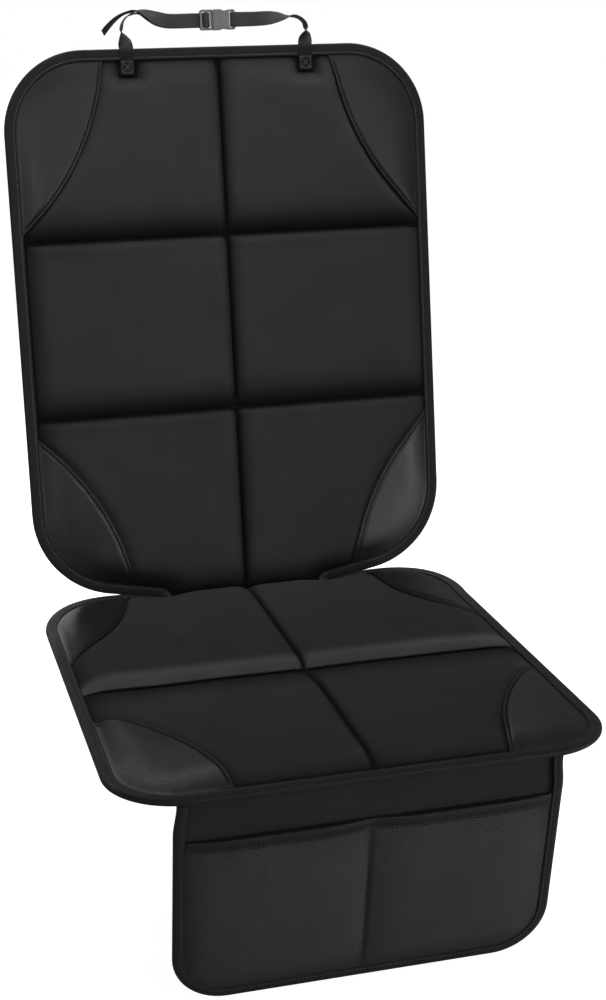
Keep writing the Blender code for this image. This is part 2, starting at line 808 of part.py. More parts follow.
def spline(a, b, c, d, t):
    """Catmull-Rom value between b and c."""
    curve = 2 * a - 5 * b + 4 * c - d
    twist = 3 * b - a - 3 * c + d
    return 0.5 * (2 * b + (c - a) * t + curve * t ** 2 + twist * t ** 3)


def ribbon(stations, parts):
    """Flat webbing through (centre, width direction) stations, smoothed between them."""
    ends = [stations[0], *stations, stations[-1]]
    line = []
    for i in range(len(stations) - 1):
        quad = ends[i:i + 4]
        for k in range(parts):
            t = k / parts
            centre = spline(*[q[0] for q in quad], t)
            line.append((centre, spline(*[q[1] for q in quad], t)))
    line.append(stations[-1])
    bm = bmesh.new()
    rings = []
    for i, (centre, width) in enumerate(line):
        tangent = (line[min(i + 1, len(line) - 1)][0] - line[max(i - 1, 0)][0]).normalized()
        width = (width - tangent * width.dot(tangent)).normalized()
        off = tangent.cross(width) * (WEB_THICK / 2)
        half = width * (WEB_WIDTH / 2)
        corners = (centre - half - off, centre + half - off, centre + half + off, centre - half + off)
        rings.append([bm.verts.new(c) for c in corners])
    for ring, following in zip(rings, rings[1:]):
        for j in range(4):
            k = (j + 1) % 4
            bm.faces.new([ring[j], ring[k], following[k], following[j]])
    bm.faces.new(rings[0])
    bm.faces.new(rings[-1])
    return bm


def at(x, y, z, width):
    return (Vector((x, y, z)), width)


def twisted(turn):
    """Width direction of webbing that has turned from edge on towards lying flat."""
    return UP * math.sin(turn) + REAR * math.cos(turn)


def anchor_stations(side):
    """From the sewn end on the back's face to the point where the webbing has turned edge on."""
    x = side * ANCHOR_U
    z = WEB_ON_PAD
    return [
        at(x, -ANCHOR_DEPTH, z, ACROSS),
        at(x, -ANCHOR_DEPTH / 2, z, ACROSS),
        at(x, -GAP * 3, z, ACROSS),
        at(x + side * WEB_THICK / 2, WEB_WIDTH / 4, z, ACROSS),
        at(x + side * WEB_THICK * 2, WEB_WIDTH * 3 / 4, BUCKLE_STAND, (ACROSS + REAR).normalized()),
    ]


def arch_stations(side, top_u, base, top, out):
    """Quarter ellipse, edge on, from beside the anchor up to the arch's top."""
    reach = ANCHOR_U + out - top_u
    turns = [math.pi / 6 * k for k in range(4)]
    return [
        at(side * (top_u + reach * math.cos(a)), base + (top - base) * math.sin(a), BUCKLE_STAND, REAR)
        for a in turns
    ]


def descent_stations(side, top_u, top, flat_u, flat_z):
    """From an arch's top down to the buckle's height, turning from edge on to flat."""
    stations = []
    for share in (1 / 3, 2 / 3, 1.0):
        turn = math.pi / 2 * math.sin(math.pi / 2 * share)
        x = top_u + (flat_u - top_u) * share
        y = top + (BUCKLE_RISE - top) * smooth(share)
        z = BUCKLE_STAND + (flat_z - BUCKLE_STAND) * math.sin(turn)
        stations.append(at(side * x, y, z, twisted(turn)))
    return stations


def tail_stations():
    """The free end past its arch, falling outwards and turning a little towards the front."""
    stations = []
    for share in (0.0, 0.3, 0.6, 0.87, 1.0):
        x = -LEFT_ARCH_U - TAIL_REACH * share
        y = TAIL_TOP - TAIL_DROP * share * share
        fall = Vector((-TAIL_REACH, -2 * TAIL_DROP * share, 0.0)).normalized()
        facing = fall.cross(REAR)
        turn = TAIL_TWIST * smooth(share)
        stations.append(at(x, y, BUCKLE_STAND, REAR * math.cos(turn) + facing * math.sin(turn)))
    return stations


def strap_left():
    """Webbing from the left anchor, through the latch's ladder and back as a free tail."""
    y = BUCKLE_RISE
    near = BUCKLE_STAND + LATCH_THICK / 2 + GAP + WEB_THICK / 2
    tail = BUCKLE_STAND - LATCH_THICK / 2 - GAP - WEB_THICK / 2
    load = tail - WEB_THICK - GAP
    inner = LATCH_END + 2 * LATCH_BAR + 1.5 * LATCH_SLOT
    outer = LATCH_END + LATCH_BAR + 0.5 * LATCH_SLOT
    corner = WEB_THICK
    arch = arch_stations(-1.0, LEFT_ARCH_U, LEFT_ARCH_BASE, LEFT_ARCH_TOP, LEFT_ARCH_OUT)
    down = descent_stations(-1.0, LEFT_ARCH_U, LEFT_ARCH_TOP, LEFT_FLAT_U, load)
    back_up = descent_stations(-1.0, LEFT_ARCH_U, TAIL_TOP, LEFT_FLAT_U, tail)
    ladder = [
        at(-FLAT_TAIL_U, y, load, UP),
        at(outer, y, load, UP),
        at(inner - corner, y, load, UP),
        at(inner, y, load + corner * 1.4, UP),
        at(inner, y, near - corner, UP),
        at(inner - corner, y, near, UP),
        at(outer + corner, y, near, UP),
        at(outer, y, near - corner, UP),
        at(outer, y, tail + corner, UP),
        at(outer - corner, y, tail, UP),
        at(-FLAT_TAIL_U, y, tail, UP),
    ]
    stations = anchor_stations(-1.0) + arch + down + ladder + back_up[::-1] + tail_stations()
    return finish_object("strap_left", ribbon(stations, 2), (0.020, 0.020, 0.021), 0.7)


def strap_right():
    """Webbing from the right anchor, sewn round the socket's end bar."""
    y = BUCKLE_RISE
    near = BUCKLE_STAND + LATCH_THICK / 2 + GAP + WEB_THICK / 2
    far = BUCKLE_STAND - LATCH_THICK / 2 - GAP - WEB_THICK / 2
    pressed = WEB_THICK / 2 + GAP
    slot = SOCKET_END - LATCH_BAR - LATCH_SLOT / 2
    corner = WEB_THICK
    arch = arch_stations(1.0, RIGHT_ARCH_U, RIGHT_ARCH_BASE, RIGHT_ARCH_TOP, RIGHT_ARCH_OUT)
    down = descent_stations(1.0, RIGHT_ARCH_U, RIGHT_ARCH_TOP, RIGHT_FLAT_U, BUCKLE_STAND + pressed)
    loop = [
        at(SEWN_FLAT_U, y, BUCKLE_STAND + pressed, UP),
        at(SEWN_START_U, y, BUCKLE_STAND + pressed * 2, UP),
        at(SOCKET_END, y, near + GAP, UP),
        at(slot + corner, y, near, UP),
        at(slot, y, near - corner, UP),
        at(slot, y, far + corner, UP),
        at(slot + corner, y, far, UP),
        at(SOCKET_END, y, far - GAP, UP),
        at(SEWN_START_U, y, BUCKLE_STAND - pressed * 2, UP),
        at(SEWN_FLAT_U, y, BUCKLE_STAND - pressed, UP),
        at(SEWN_END_U, y, BUCKLE_STAND - pressed, UP),
    ]
    stations = anchor_stations(1.0) + arch + down + loop
    return finish_object("strap_right", ribbon(stations, 2), (0.020, 0.020, 0.021), 0.7)


def plate(outline, holes, thick):
    """Flat moulded plate with through holes, centred on its own middle plane."""
    verts, triangles, _ = triangulate([outline, *holes], [], [])
    kept = [t for t in triangles if within(verts, t, outline, holes)]
    return slab(verts, kept, lambda x, y, z: Vector((x, y, z)), lambda p: -thick / 2, lambda p: thick / 2)


def slot_outline(start, length):
    end = start + length
    radius = length * 0.25
    return rounded([
        (start, -SLOT_HALF, radius),
        (end, -SLOT_HALF, radius),
        (end, SLOT_HALF, radius),
        (start, SLOT_HALF, radius),
    ])


def buckle_latch():
    """Ladder frame for the webbing, with a tongue and two sprung prongs in the socket."""
    upper = [
        (LATCH_SHOULDER, TONGUE_HALF, 0.0),
        (LATCH_SHOULDER, PRONG_INNER, 0.0),
        (PRONG_TIP - LATCH_BAR, PRONG_INNER, 0.0),
        (PRONG_TIP, PRONG_INNER + BUCKLE_CORNER / 3, 0.0),
        (PRONG_TIP - LATCH_BAR, PRONG_HEAD, BUCKLE_CORNER / 2),
        (PRONG_HEAD_START, PRONG_HEAD, BUCKLE_CORNER / 4),
        (PRONG_HEAD_START, PRONG_OUTER, 0.0),
        (LATCH_SHOULDER, PRONG_OUTER, 0.0),
        (LATCH_SHOULDER, BUCKLE_HALF, BUCKLE_CORNER / 4),
        (LATCH_END, BUCKLE_HALF, BUCKLE_CORNER),
    ]
    lower = [(u, -v, radius) for u, v, radius in reversed(upper)]
    tongue = [(TONGUE_TIP, -TONGUE_HALF, BUCKLE_CORNER / 2), (TONGUE_TIP, TONGUE_HALF, BUCKLE_CORNER / 2)]
    outline = rounded(upper + lower + tongue)
    holes = [
        slot_outline(LATCH_END + LATCH_BAR, LATCH_SLOT),
        slot_outline(LATCH_END + 2 * LATCH_BAR + LATCH_SLOT, LATCH_SLOT),
    ]
    bm = plate(outline, holes, LATCH_THICK)
    made = finish_object("buckle_latch", bm, (0.016, 0.016, 0.017), 0.4, crease=25.0)
    made.location = (0.0, BUCKLE_RISE, BUCKLE_STAND)
    return made


def cutter(name, low, high, parent):
    """A box that only cuts: it is never shown or built."""
    bm = bmesh.new()
    bmesh.ops.create_cube(bm, size=1.0)
    for v in bm.verts:
        v.co = Vector([low[k] if v.co[k] < 0 else high[k] for k in range(3)])
    mesh = bpy.data.meshes.new(name)
    bm.to_mesh(mesh)
    bm.free()
    made = bpy.data.objects.new(name, mesh)
    bpy.context.scene.collection.objects.link(made)
    made.hide_render = True
    made.display_type = "WIRE"
    made.parent = parent
    return made


def buckle_socket():
    """Hollow socket with side windows, and a thinner end bar for its webbing."""
    upper = [
        (SOCKET_END, BUCKLE_HALF, BUCKLE_CORNER),
        (SOCKET_SHELL_END, BUCKLE_HALF * 0.97, BUCKLE_CORNER / 2),
        (SOCKET_WAIST_U, SOCKET_WAIST, BUCKLE_CORNER),
        (SOCKET_WAIST_U - LATCH_SLOT, BUCKLE_HALF, BUCKLE_CORNER / 2),
        (LATCH_SHOULDER + GAP, BUCKLE_HALF, BUCKLE_CORNER / 2),
    ]
    lower = [(u, -v, radius) for u, v, radius in reversed(upper)]
    slot = slot_outline(SOCKET_END - LATCH_BAR - LATCH_SLOT, LATCH_SLOT)
    bm = plate(rounded(upper + lower), [slot], SOCKET_THICK)
    made = finish_object("buckle_socket", bm, (0.016, 0.016, 0.017), 0.4, crease=25.0)
    made.location = (0.0, BUCKLE_RISE, BUCKLE_STAND)
    past = SOCKET_THICK
    room = LATCH_THICK / 2 + GAP
    wide = PRONG_OUTER + CAVITY_CLEARANCE
    bar = LATCH_THICK / 2
    side = BUCKLE_HALF + past
    end = SOCKET_END + past
    cuts = [
        ("cavity", (LATCH_SHOULDER - past, -wide, -room), (CAVITY_END, wide, room)),
        ("windows", (WINDOW_START, -side, -room), (CAVITY_END, side, room)),
        ("bar_front", (SOCKET_SHELL_END, -side, bar), (end, side, past)),
        ("bar_rear", (SOCKET_SHELL_END, -side, -past), (end, side, -bar)),
    ]
    for name, low, high in cuts:
        cut = made.modifiers.new(name, "BOOLEAN")
        cut.operation = "DIFFERENCE"
        cut.solver = "EXACT"
        cut.object = cutter(f"cut_{name}", low, high, made)
    return made


def headrest_strap():
    """Straps and buckle, placed by an empty on the back panel's top edge."""
    frame = bpy.data.objects.new("headrest_strap", None)
    bpy.context.scene.collection.objects.link(frame)
    frame.location = pad_point(0.0, BACK_LENGTH, 0.0)
    frame.rotation_euler = (FOLD_TURN, 0.0, 0.0)
    for made in (strap_left(), strap_right(), buckle_latch(), buckle_socket()):
        made.parent = frame


def main():
    clear_scene()
    outline, patches, verts, triangles = pad_layout()
    heights = [top_height(p, outline, patches) for p in verts]
    quilted_pad(outline, patches, verts, triangles, heights)
    for index in range(len(patches)):
        corner_patch(index, patches, verts, triangles, heights)
    edge_binding(outline)
    front_flap()
    flap_binding()
    pocket_mesh()
    pocket_hem()
    headrest_strap()


main()
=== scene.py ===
import math

import bmesh
import bpy
import numpy as np
from mathutils import Matrix, Vector, noise
from mathutils.geometry import delaunay_2d_cdt


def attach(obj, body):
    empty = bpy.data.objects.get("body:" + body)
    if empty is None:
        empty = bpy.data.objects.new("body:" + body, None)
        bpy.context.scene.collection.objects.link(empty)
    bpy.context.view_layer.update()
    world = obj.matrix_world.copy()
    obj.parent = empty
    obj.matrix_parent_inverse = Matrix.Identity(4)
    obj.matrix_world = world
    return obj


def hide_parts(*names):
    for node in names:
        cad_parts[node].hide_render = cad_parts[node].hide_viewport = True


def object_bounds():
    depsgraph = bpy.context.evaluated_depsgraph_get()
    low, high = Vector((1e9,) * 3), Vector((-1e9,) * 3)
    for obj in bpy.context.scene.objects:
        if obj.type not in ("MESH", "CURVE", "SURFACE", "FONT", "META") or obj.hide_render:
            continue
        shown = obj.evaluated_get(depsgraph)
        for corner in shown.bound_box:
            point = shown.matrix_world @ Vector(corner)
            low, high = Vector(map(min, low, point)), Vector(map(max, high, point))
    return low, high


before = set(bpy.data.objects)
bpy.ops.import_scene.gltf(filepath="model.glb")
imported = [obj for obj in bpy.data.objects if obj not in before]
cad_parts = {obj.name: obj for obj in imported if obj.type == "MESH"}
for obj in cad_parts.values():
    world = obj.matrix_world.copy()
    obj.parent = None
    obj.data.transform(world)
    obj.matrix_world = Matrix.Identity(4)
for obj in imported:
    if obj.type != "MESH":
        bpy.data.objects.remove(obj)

CAD_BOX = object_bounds()

# Sizes shared with the part's source, in metres
GAP = 0.0003
BACK_HALF = 0.230
BACK_LENGTH = 0.591
BACK_TOP_RADIUS = 0.086
BACK_LOW_RADIUS = 0.095
SEAT_HALF = BACK_HALF + 0.002
SEAT_LENGTH = 0.498
SEAT_REAR_RADIUS = 0.075
SEAT_FRONT_RADIUS = 0.068
NECK_HALF = 0.0965
NOTCH_HALF = 0.0003
NOTCH_RISE = math.radians(10.8)
BACK_LEAN = math.radians(7.8)
FOLD_RADIUS = 0.0080
CURL = 0.0080
CURL_SHIFT = 0.0030
CURL_SPAN = 0.050
CURL_LENGTH = 0.090
CLOSE_START = 0.010
CLOSE_SPAN = 0.050
CLOSE_LENGTH = 0.030
CLOSE_LIFT = 0.0016
RIM = 0.0032
PUFF = 0.0125
BACK_ROWS = (0.205, 0.393)
SEAT_ROW = -0.2505
COLUMN_SWELL = 0.018
SLOW_ROW_RISE = 0.044
QUICK_ROW_RISE = 0.010
SLOW_ROW_POWER = 2.05
QUICK_ROW_POWER = 2.3
SEAT_ROW_RISE = 0.074
SEAT_COLUMN_SWELL = 0.014
SEAT_SEAM_DIP = 0.50
FOLD_SWELL = 0.042
EDGE_SWELL = 0.034
SEAM_SWELL = 0.012
SEAM_DIP = 0.30
SWELL_POWER = 2.5
PATCH_FALL = 0.45
PATCH_FALL_START = 0.006
PATCH_FALL_SPAN = 0.085
SLACK_SIZE = 0.075
SLACK_LIFT = 0.0011
SLACK_EDGE = 0.02
SLACK_FOLD = 0.03
PUCKER_SIZE = 0.011
PUCKER_LIFT = 0.0005
PUCKER_PLACE = 0.010
PUCKER_SPAN = 0.008
PATCHES = {
    "back_top": (0.110, 0.200),
    "back_low": (0.110, 0.198),
    "seat_rear": (0.099, 0.180),
    "seat_front": (0.110, 0.195),
}
PATCH_BULGE = 0.024
PATCH_THICK = 0.0012
PATCH_GAP = 0.0004
SEAM_GROOVE = 0.0012
TAPE_WIDTH = 0.0120
TAPE_THICK = 0.0010
FLAP_HANG = math.radians(11.2)
FLAP_DROP = 0.2214
FLAP_HALF = 0.179
FLAP_TOP_INSET = 0.003
FLAP_TAPER = 0.030
FLAP_RADIUS = 0.052
FLAP_THICK = 0.0014
FLAP_BEND = 0.0025
FLAP_TAB = 0.016
FLAP_TAPE_WIDTH = 0.0100
POCKET_TOP = 0.041
POCKET_MOUTH = 0.0045
POCKET_BULGE = 0.0105
POCKET_DEEPEN = 0.060
POCKET_SWELL = 0.055
POCKET_POWER = 2.4
POCKET_SEAM_HALF = 0.0012
MESH_THICK = 0.0008
HEM_HEIGHT = 0.011
HEM_THICK = 0.0006
WEB_WIDTH = 0.015
WEB_THICK = 0.0012
ANCHOR_U = 0.097
ANCHOR_DEPTH = 0.027
ANCHOR_MARGIN = 0.002
ANCHOR_SWELL = 0.018
ANCHOR_STITCH_INSET = 0.0022
LEFT_ARCH_U = 0.086
LEFT_ARCH_BASE = 0.019
LEFT_ARCH_TOP = 0.035
LEFT_ARCH_OUT = 0.004
LEFT_FLAT_U = 0.048
RIGHT_ARCH_U = 0.083
RIGHT_ARCH_BASE = 0.0165
RIGHT_ARCH_TOP = 0.0295
RIGHT_ARCH_OUT = 0.002
RIGHT_FLAT_U = 0.043
FLAT_TAIL_U = 0.025
TAIL_TOP = 0.0375
TAIL_REACH = 0.0345
TAIL_DROP = 0.0215
TAIL_TWIST = math.radians(24.0)
SEWN_START_U = 0.026
SEWN_END_U = 0.040
SEWN_FLAT_U = 0.032
BUCKLE_RISE = 0.027
BUCKLE_STAND = 0.006
LATCH_END = -0.0170
LATCH_BAR = 0.0024
LATCH_SLOT = 0.0036
LATCH_THICK = 0.0042
SOCKET_END = 0.0210

# Derived sizes
FLAP_TOP_HALF = FLAP_HALF - FLAP_TOP_INSET
EDGE = TAPE_THICK + GAP
FOLD_TURN = math.pi / 2 - BACK_LEAN
FOLD_ARC = FOLD_RADIUS * FOLD_TURN / 2
FOLD_Y = SEAT_LENGTH / 2 - FOLD_ARC
FRONT_Y = -SEAT_LENGTH / 2
FLAP_TURN = math.pi / 2 + FLAP_HANG
FLAP_ARC = FLAP_BEND * FLAP_TURN
MESH_BACK = FLAP_THICK + GAP + HEM_THICK + GAP
WEB_ON_PAD = RIM + GAP + TAPE_THICK + GAP + WEB_THICK / 2

# Fineness of the shown meshes
ARC_TURN = math.radians(3.5)
TIP_STEP = 0.0003
LONG_STEP = 0.006
GRID = 0.0042
GRID_CLEAR = 0.003
UNDER_GRID = 0.010
UNDER_START = 0.013
UNDER_CLEAR = 0.004
FLAP_GRID = 0.008
KNIT = 0.0021
KNIT_HOLE = 0.88
BEVEL = 0.0003
UNIT = 0.001
FAR = 9.0

# The camera, from the fit to the photograph

EYE = Vector((-0.42504, -1.59157, 0.68663))
AZIMUTH = math.radians(-15.23)
ELEVATION = math.radians(19.63)
PITCH = math.radians(2.6)
LENS = 64.6


def linked(name, data):
    """An object of this data, in the scene."""
    made = bpy.data.objects.new(name, data)
    bpy.context.scene.collection.objects.link(made)
    return made


def make_camera():
    a, e = AZIMUTH, ELEVATION
    back = Vector((math.sin(a) * math.cos(e), -math.cos(a) * math.cos(e), math.sin(e)))
    right = Vector((math.cos(a), math.sin(a), 0.0))
    level = Matrix((right, back.cross(right), back)).transposed()
    turn = Matrix.Rotation(PITCH, 3, "X")
    data = bpy.data.cameras.new("camera")
    data.lens = LENS
    data.sensor_width = 36.0
    data.clip_start = 0.05
    data.clip_end = 100.0
    camera = linked("camera", data)
    camera.matrix_world = Matrix.Translation(EYE) @ (turn @ level).to_4x4()
    bpy.context.scene.camera = camera


# Flat outlines

def smooth(t):
    t = np.clip(t, 0.0, 1.0)
    return t * t * (3.0 - 2.0 * t)


def swell(distance, width, power=SWELL_POWER):
    t = np.clip(np.asarray(distance) / width, 0.0, 1.0)
    return 1.0 - (1.0 - t) ** power


def arc_at(corner, before, after, radius):
    a = (before - corner).normalized()
    b = (after - corner).normalized()
    half = a.angle(b) / 2
    cut = radius / math.tan(half)
    centre = corner + (a + b).normalized() * (radius / math.sin(half))
    start = corner + a * cut - centre
    end = corner + b * cut - centre
    turn = math.pi - 2 * half
    count = max(3, round(min(turn / ARC_TURN, turn * radius / TIP_STEP)))
    points = []
    for i in range(count + 1):
        t = i / count
        points.append(centre + start * (math.sin((1 - t) * turn) / math.sin(turn))
                      + end * (math.sin(t * turn) / math.sin(turn)))
    return points


def divided(points, closed, step=LONG_STEP):
    out = []
    ends = points[1:] + points[:1] if closed else points[1:]
    for a, b in zip(points, ends):
        parts = max(1, math.ceil((b - a).length / step))
        out += [a.lerp(b, k / parts) for k in range(parts)]
    return out if closed else out + [points[-1]]


def mat_outline(step=LONG_STEP):
    low = NOTCH_HALF + (BACK_HALF - NECK_HALF) * math.tan(NOTCH_RISE)
    tip = NOTCH_HALF * 0.9
    left = [
        (-BACK_HALF, BACK_LENGTH, BACK_TOP_RADIUS),
        (-BACK_HALF, low, BACK_LOW_RADIUS),
        (-NECK_HALF, NOTCH_HALF, tip),
        (-NECK_HALF, -NOTCH_HALF, tip),
        (-SEAT_HALF, -NOTCH_HALF, SEAT_REAR_RADIUS),
        (-SEAT_HALF, -SEAT_LENGTH, SEAT_FRONT_RADIUS),
    ]
    corners = left + [(-u, s, radius) for u, s, radius in reversed(left)]
    points = []
    for i, (u, s, radius) in enumerate(corners):
        before = Vector(corners[i - 1][:2])
        after = Vector(corners[(i + 1) % len(corners)][:2])
        points += arc_at(Vector((u, s)), before, after, radius)
    return np.array([tuple(p) for p in divided(points, True, step)])


def inset(line, depth, closed=True):
    """The line moved to its left by depth."""
    before = np.roll(line, 1, axis=0)
    after = np.roll(line, -1, axis=0)
    if not closed:
        before[0] = 2 * line[0] - line[1]
        after[-1] = 2 * line[-1] - line[-2]
    one = line - before
    two = after - line
    one = one / np.linalg.norm(one, axis=1)[:, None]
    two = two / np.linalg.norm(two, axis=1)[:, None]
    n_one = np.stack([-one[:, 1], one[:, 0]], axis=1)
    n_two = np.stack([-two[:, 1], two[:, 0]], axis=1)
    return line + (n_one + n_two) / (1.0 + np.sum(n_one * n_two, axis=1))[:, None] * depth


def inside(outline, points):
    within = np.zeros(len(points), dtype=bool)
    for a, b in zip(outline, np.roll(outline, -1, axis=0)):
        if a[1] == b[1]:
            continue
        spans = (a[1] > points[:, 1]) != (b[1] > points[:, 1])
        cross = a[0] + (points[:, 1] - a[1]) / (b[1] - a[1]) * (b[0] - a[0])
        within ^= spans & (points[:, 0] < cross)
    return within


def line_distance(line, points, closed=True):
    best = np.full(len(points), FAR)
    ends = np.roll(line, -1, axis=0) if closed else line[1:]
    for a, b in zip(line, ends):
        along = b - a
        t = np.clip((points - a) @ along / (along @ along), 0.0, 1.0)
        gap = points - a - t[:, None] * along
        best = np.minimum(best, np.sqrt(np.sum(gap * gap, axis=1)))
    return best


def triangulate(loops, chains, points):
    flat = []
    edges = []
    for loop in loops:
        first = len(flat)
        flat += [tuple(p) for p in loop]
        edges += [(first + i, first + (i + 1) % len(loop)) for i in range(len(loop))]
    for chain in chains:
        first = len(flat)
        flat += [tuple(p) for p in chain]
        edges += [(first + i, first + i + 1) for i in range(len(chain) - 1)]
    flat += [tuple(p) for p in points]
    result = delaunay_2d_cdt([Vector(p) for p in flat], edges, [], 0, 1e-6, True)
    places = {}
    for out_index, ids in enumerate(result[3]):
        for source in ids:
            places[source] = out_index
    verts = np.array([tuple(v) for v in result[0]])
    return verts, np.array([tuple(t) for t in result[2]]), places


def kept_within(verts, triangles, outline):
    centres = verts[triangles].mean(axis=1)
    return triangles[inside(outline, centres) & (line_distance(outline, centres) > 1e-6)]


def resample(line, step):
    """Points at equal distances along a line, with the length at each."""
    legs = np.linalg.norm(np.diff(line, axis=0), axis=1)
    reach = np.concatenate([[0.0], np.cumsum(legs)])
    count = max(2, int(round(reach[-1] / step)))
    at = np.linspace(0.0, reach[-1], count + 1)
    return np.stack([np.interp(at, reach, line[:, k]) for k in range(line.shape[1])], axis=1), at


# The folded mat

def pad_point(u, s, w):
    bent = np.clip(s, -FOLD_ARC, FOLD_ARC)
    angle = bent / FOLD_RADIUS + FOLD_TURN / 2
    straight = s - bent
    radius = FOLD_RADIUS - w
    y = FOLD_Y + radius * np.sin(angle) + straight * np.cos(angle)
    z = FOLD_RADIUS - radius * np.cos(angle) + straight * np.sin(angle)
    return np.stack([u, y, z], axis=-1)


def arrays(*values):
    return np.broadcast_arrays(*(np.asarray(value, float) for value in values))


def on_mat(u, s, w):
    u, s, w = arrays(u, s, w)
    p = pad_point(u, s, w)
    aside = np.abs(u) - NECK_HALF
    free = smooth(aside / CURL_SPAN) * (s < 0.0)
    unbent = np.stack([u, FOLD_Y + FOLD_ARC + s, w], axis=-1)
    p = p + (unbent - p) * free[..., None]
    lift = free * smooth(1.0 + s / CURL_LENGTH)
    p = p + np.stack([0.0 * u, -CURL_SHIFT * lift, CURL * lift], axis=-1)
    # Beside the neck the seat's edge lies against the back's edge, as their binding is one piece.
    close = smooth(aside / CLOSE_START) * smooth(1.0 - aside / CLOSE_SPAN)
    close = close * (s < 0.0) * smooth(1.0 + s / CLOSE_LENGTH)
    return p + np.stack([0.0 * u, 0.0 * u, CLOSE_LIFT * close], axis=-1)


def corner_patches():
    """Name, panel sign, seam circle and the seam's ends, for each corner patch."""
    corners = [
        ("back_top", BACK_HALF, BACK_LENGTH, -1.0),
        ("back_low", BACK_HALF, 0.0, 1.0),
        ("seat_rear", SEAT_HALF, 0.0, -1.0),
        ("seat_front", SEAT_HALF, -SEAT_LENGTH, 1.0),
    ]
    found = []
    for name, u, s, inward in corners:
        across, along = PATCHES[name]
        for side, side_name in ((-1.0, "left"), (1.0, "right")):
            start = Vector((side * (u - across), s))
            end = Vector((side * u, s + inward * along))
            chord = end - start
            radius = (chord.length_squared / 4 + PATCH_BULGE ** 2) / (2 * PATCH_BULGE)
            out = Vector((side * along, -inward * across)).normalized()
            centre = (start + end) / 2 + out * (radius - PATCH_BULGE)
            panel = 1.0 if name.startswith("back") else -1.0
            found.append((f"{name}_patch_{side_name}", panel, centre, radius, start, end))
    return found


def seam_arc(patch, depth, step=0.004, over=TAPE_WIDTH):
    """Points along a patch seam, depth into the patch, running past the mat's edge by over."""
    _, _, centre, radius, start, end = patch
    first = math.atan2(start.y - centre.y, start.x - centre.x)
    turn = math.atan2(end.y - centre.y, end.x - centre.x) - first
    turn = (turn + math.pi) % (2 * math.pi) - math.pi
    extra = math.copysign(over / radius, turn)
    count = max(4, int(abs(turn) * radius / step))
    angles = np.linspace(first - extra, first + turn + extra, count + 1)
    reach = radius - depth
    return np.stack([centre.x + reach * np.cos(angles), centre.y + reach * np.sin(angles)], axis=1)


OUTLINE = mat_outline()
COARSE = mat_outline(0.2)
CORNERS = corner_patches()


def rumple(points, scale, seed):
    return np.array([noise.noise(Vector((p[0] / scale, p[1] / scale, seed))) for p in points])


def seam_lines(points):
    """Distance to the nearest quilting line, for the puckers beside it."""
    gap = np.abs(points[:, 0])
    for row in (*BACK_ROWS, SEAT_ROW):
        gap = np.minimum(gap, np.abs(points[:, 1] - row))
    return gap


def top_height(points):
    """Height of the quilted top over the mat's underside, and the depth inside a patch's seam."""
    u, s = points[:, 0], points[:, 1]
    edge = line_distance(COARSE, points) - TAPE_WIDTH - GAP
    on_seat = smooth(-s / FOLD_SWELL)
    back_column = swell(np.abs(u), COLUMN_SWELL)
    seat_column = 1.0 - SEAT_SEAM_DIP * (1.0 - swell(np.abs(u), SEAT_COLUMN_SWELL))
    column = back_column + (seat_column - back_column) * on_seat
    rise = swell(edge, EDGE_SWELL) * column * swell(np.abs(s), FOLD_SWELL)
    for row in (*BACK_ROWS, SEAT_ROW):
        # Each cell is full and steep at its upper edge on the back, and at its front edge on the seat.
        slow = s > row if row > 0.0 else s < row
        width = np.where(slow, SLOW_ROW_RISE if row > 0.0 else SEAT_ROW_RISE, QUICK_ROW_RISE)
        power = np.where(slow, SLOW_ROW_POWER, QUICK_ROW_POWER)
        rise = rise * swell(np.abs(s - row), width, power)
    depth = np.full(len(points), -FAR)
    for _, panel, centre, radius, _, _ in CORNERS:
        away = np.hypot(u - centre.x, s - centre.y)
        mine = panel * s > 0.0
        seam = 1.0 - SEAM_DIP * (1.0 - swell(np.abs(away - radius), SEAM_SWELL))
        rise = np.where(mine, rise * seam, rise)
        depth = np.where(mine, np.maximum(depth, radius - away), depth)
    rise = rise * (1.0 - PATCH_FALL * smooth((depth - PATCH_FALL_START) / PATCH_FALL_SPAN))
    across = np.maximum(np.abs(np.abs(u) - ANCHOR_U) - WEB_WIDTH / 2 - ANCHOR_MARGIN, 0.0)
    below = np.maximum(BACK_LENGTH - ANCHOR_DEPTH - ANCHOR_MARGIN - s, 0.0)
    rise = rise * swell(np.hypot(across, below), ANCHOR_SWELL)
    beside = np.exp(-((seam_lines(points) - PUCKER_PLACE) / PUCKER_SPAN) ** 2)
    slack = rumple(points, SLACK_SIZE, 7.0) * SLACK_LIFT
    slack = slack + rumple(points, PUCKER_SIZE, 3.0) * beside * PUCKER_LIFT
    slack = slack * smooth(edge / SLACK_EDGE) * smooth(np.abs(s) / SLACK_FOLD)
    return RIM + PUFF * rise + slack, depth


# Meshes

def make(name, verts, faces, flat, materials, slots=None, crease=None):
    """An object from arrays, which keeps the flat place of each point for its weave."""
    mesh = bpy.data.meshes.new(name)
    mesh.from_pydata([tuple(v) for v in verts], [], [tuple(int(i) for i in f) for f in faces])
    mesh.update()
    bm = bmesh.new()
    bm.from_mesh(mesh)
    bmesh.ops.recalc_face_normals(bm, faces=bm.faces)
    bm.to_mesh(mesh)
    bm.free()
    place = mesh.attributes.new("flat", "FLOAT_VECTOR", "POINT")
    place.data.foreach_set("vector", np.asarray(flat, dtype=np.float32).ravel())
    for one in materials:
        mesh.materials.append(one)
    if slots is not None:
        mesh.polygons.foreach_set("material_index", np.asarray(slots, dtype=np.int32))
    mesh.shade_smooth()
    if crease is not None:
        mesh.set_sharp_from_angle(angle=math.radians(crease))
    return linked(name, mesh)


def placed(made, slot, *nodes):
    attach(made, "root")
    if nodes:
        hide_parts(*nodes)
    return made


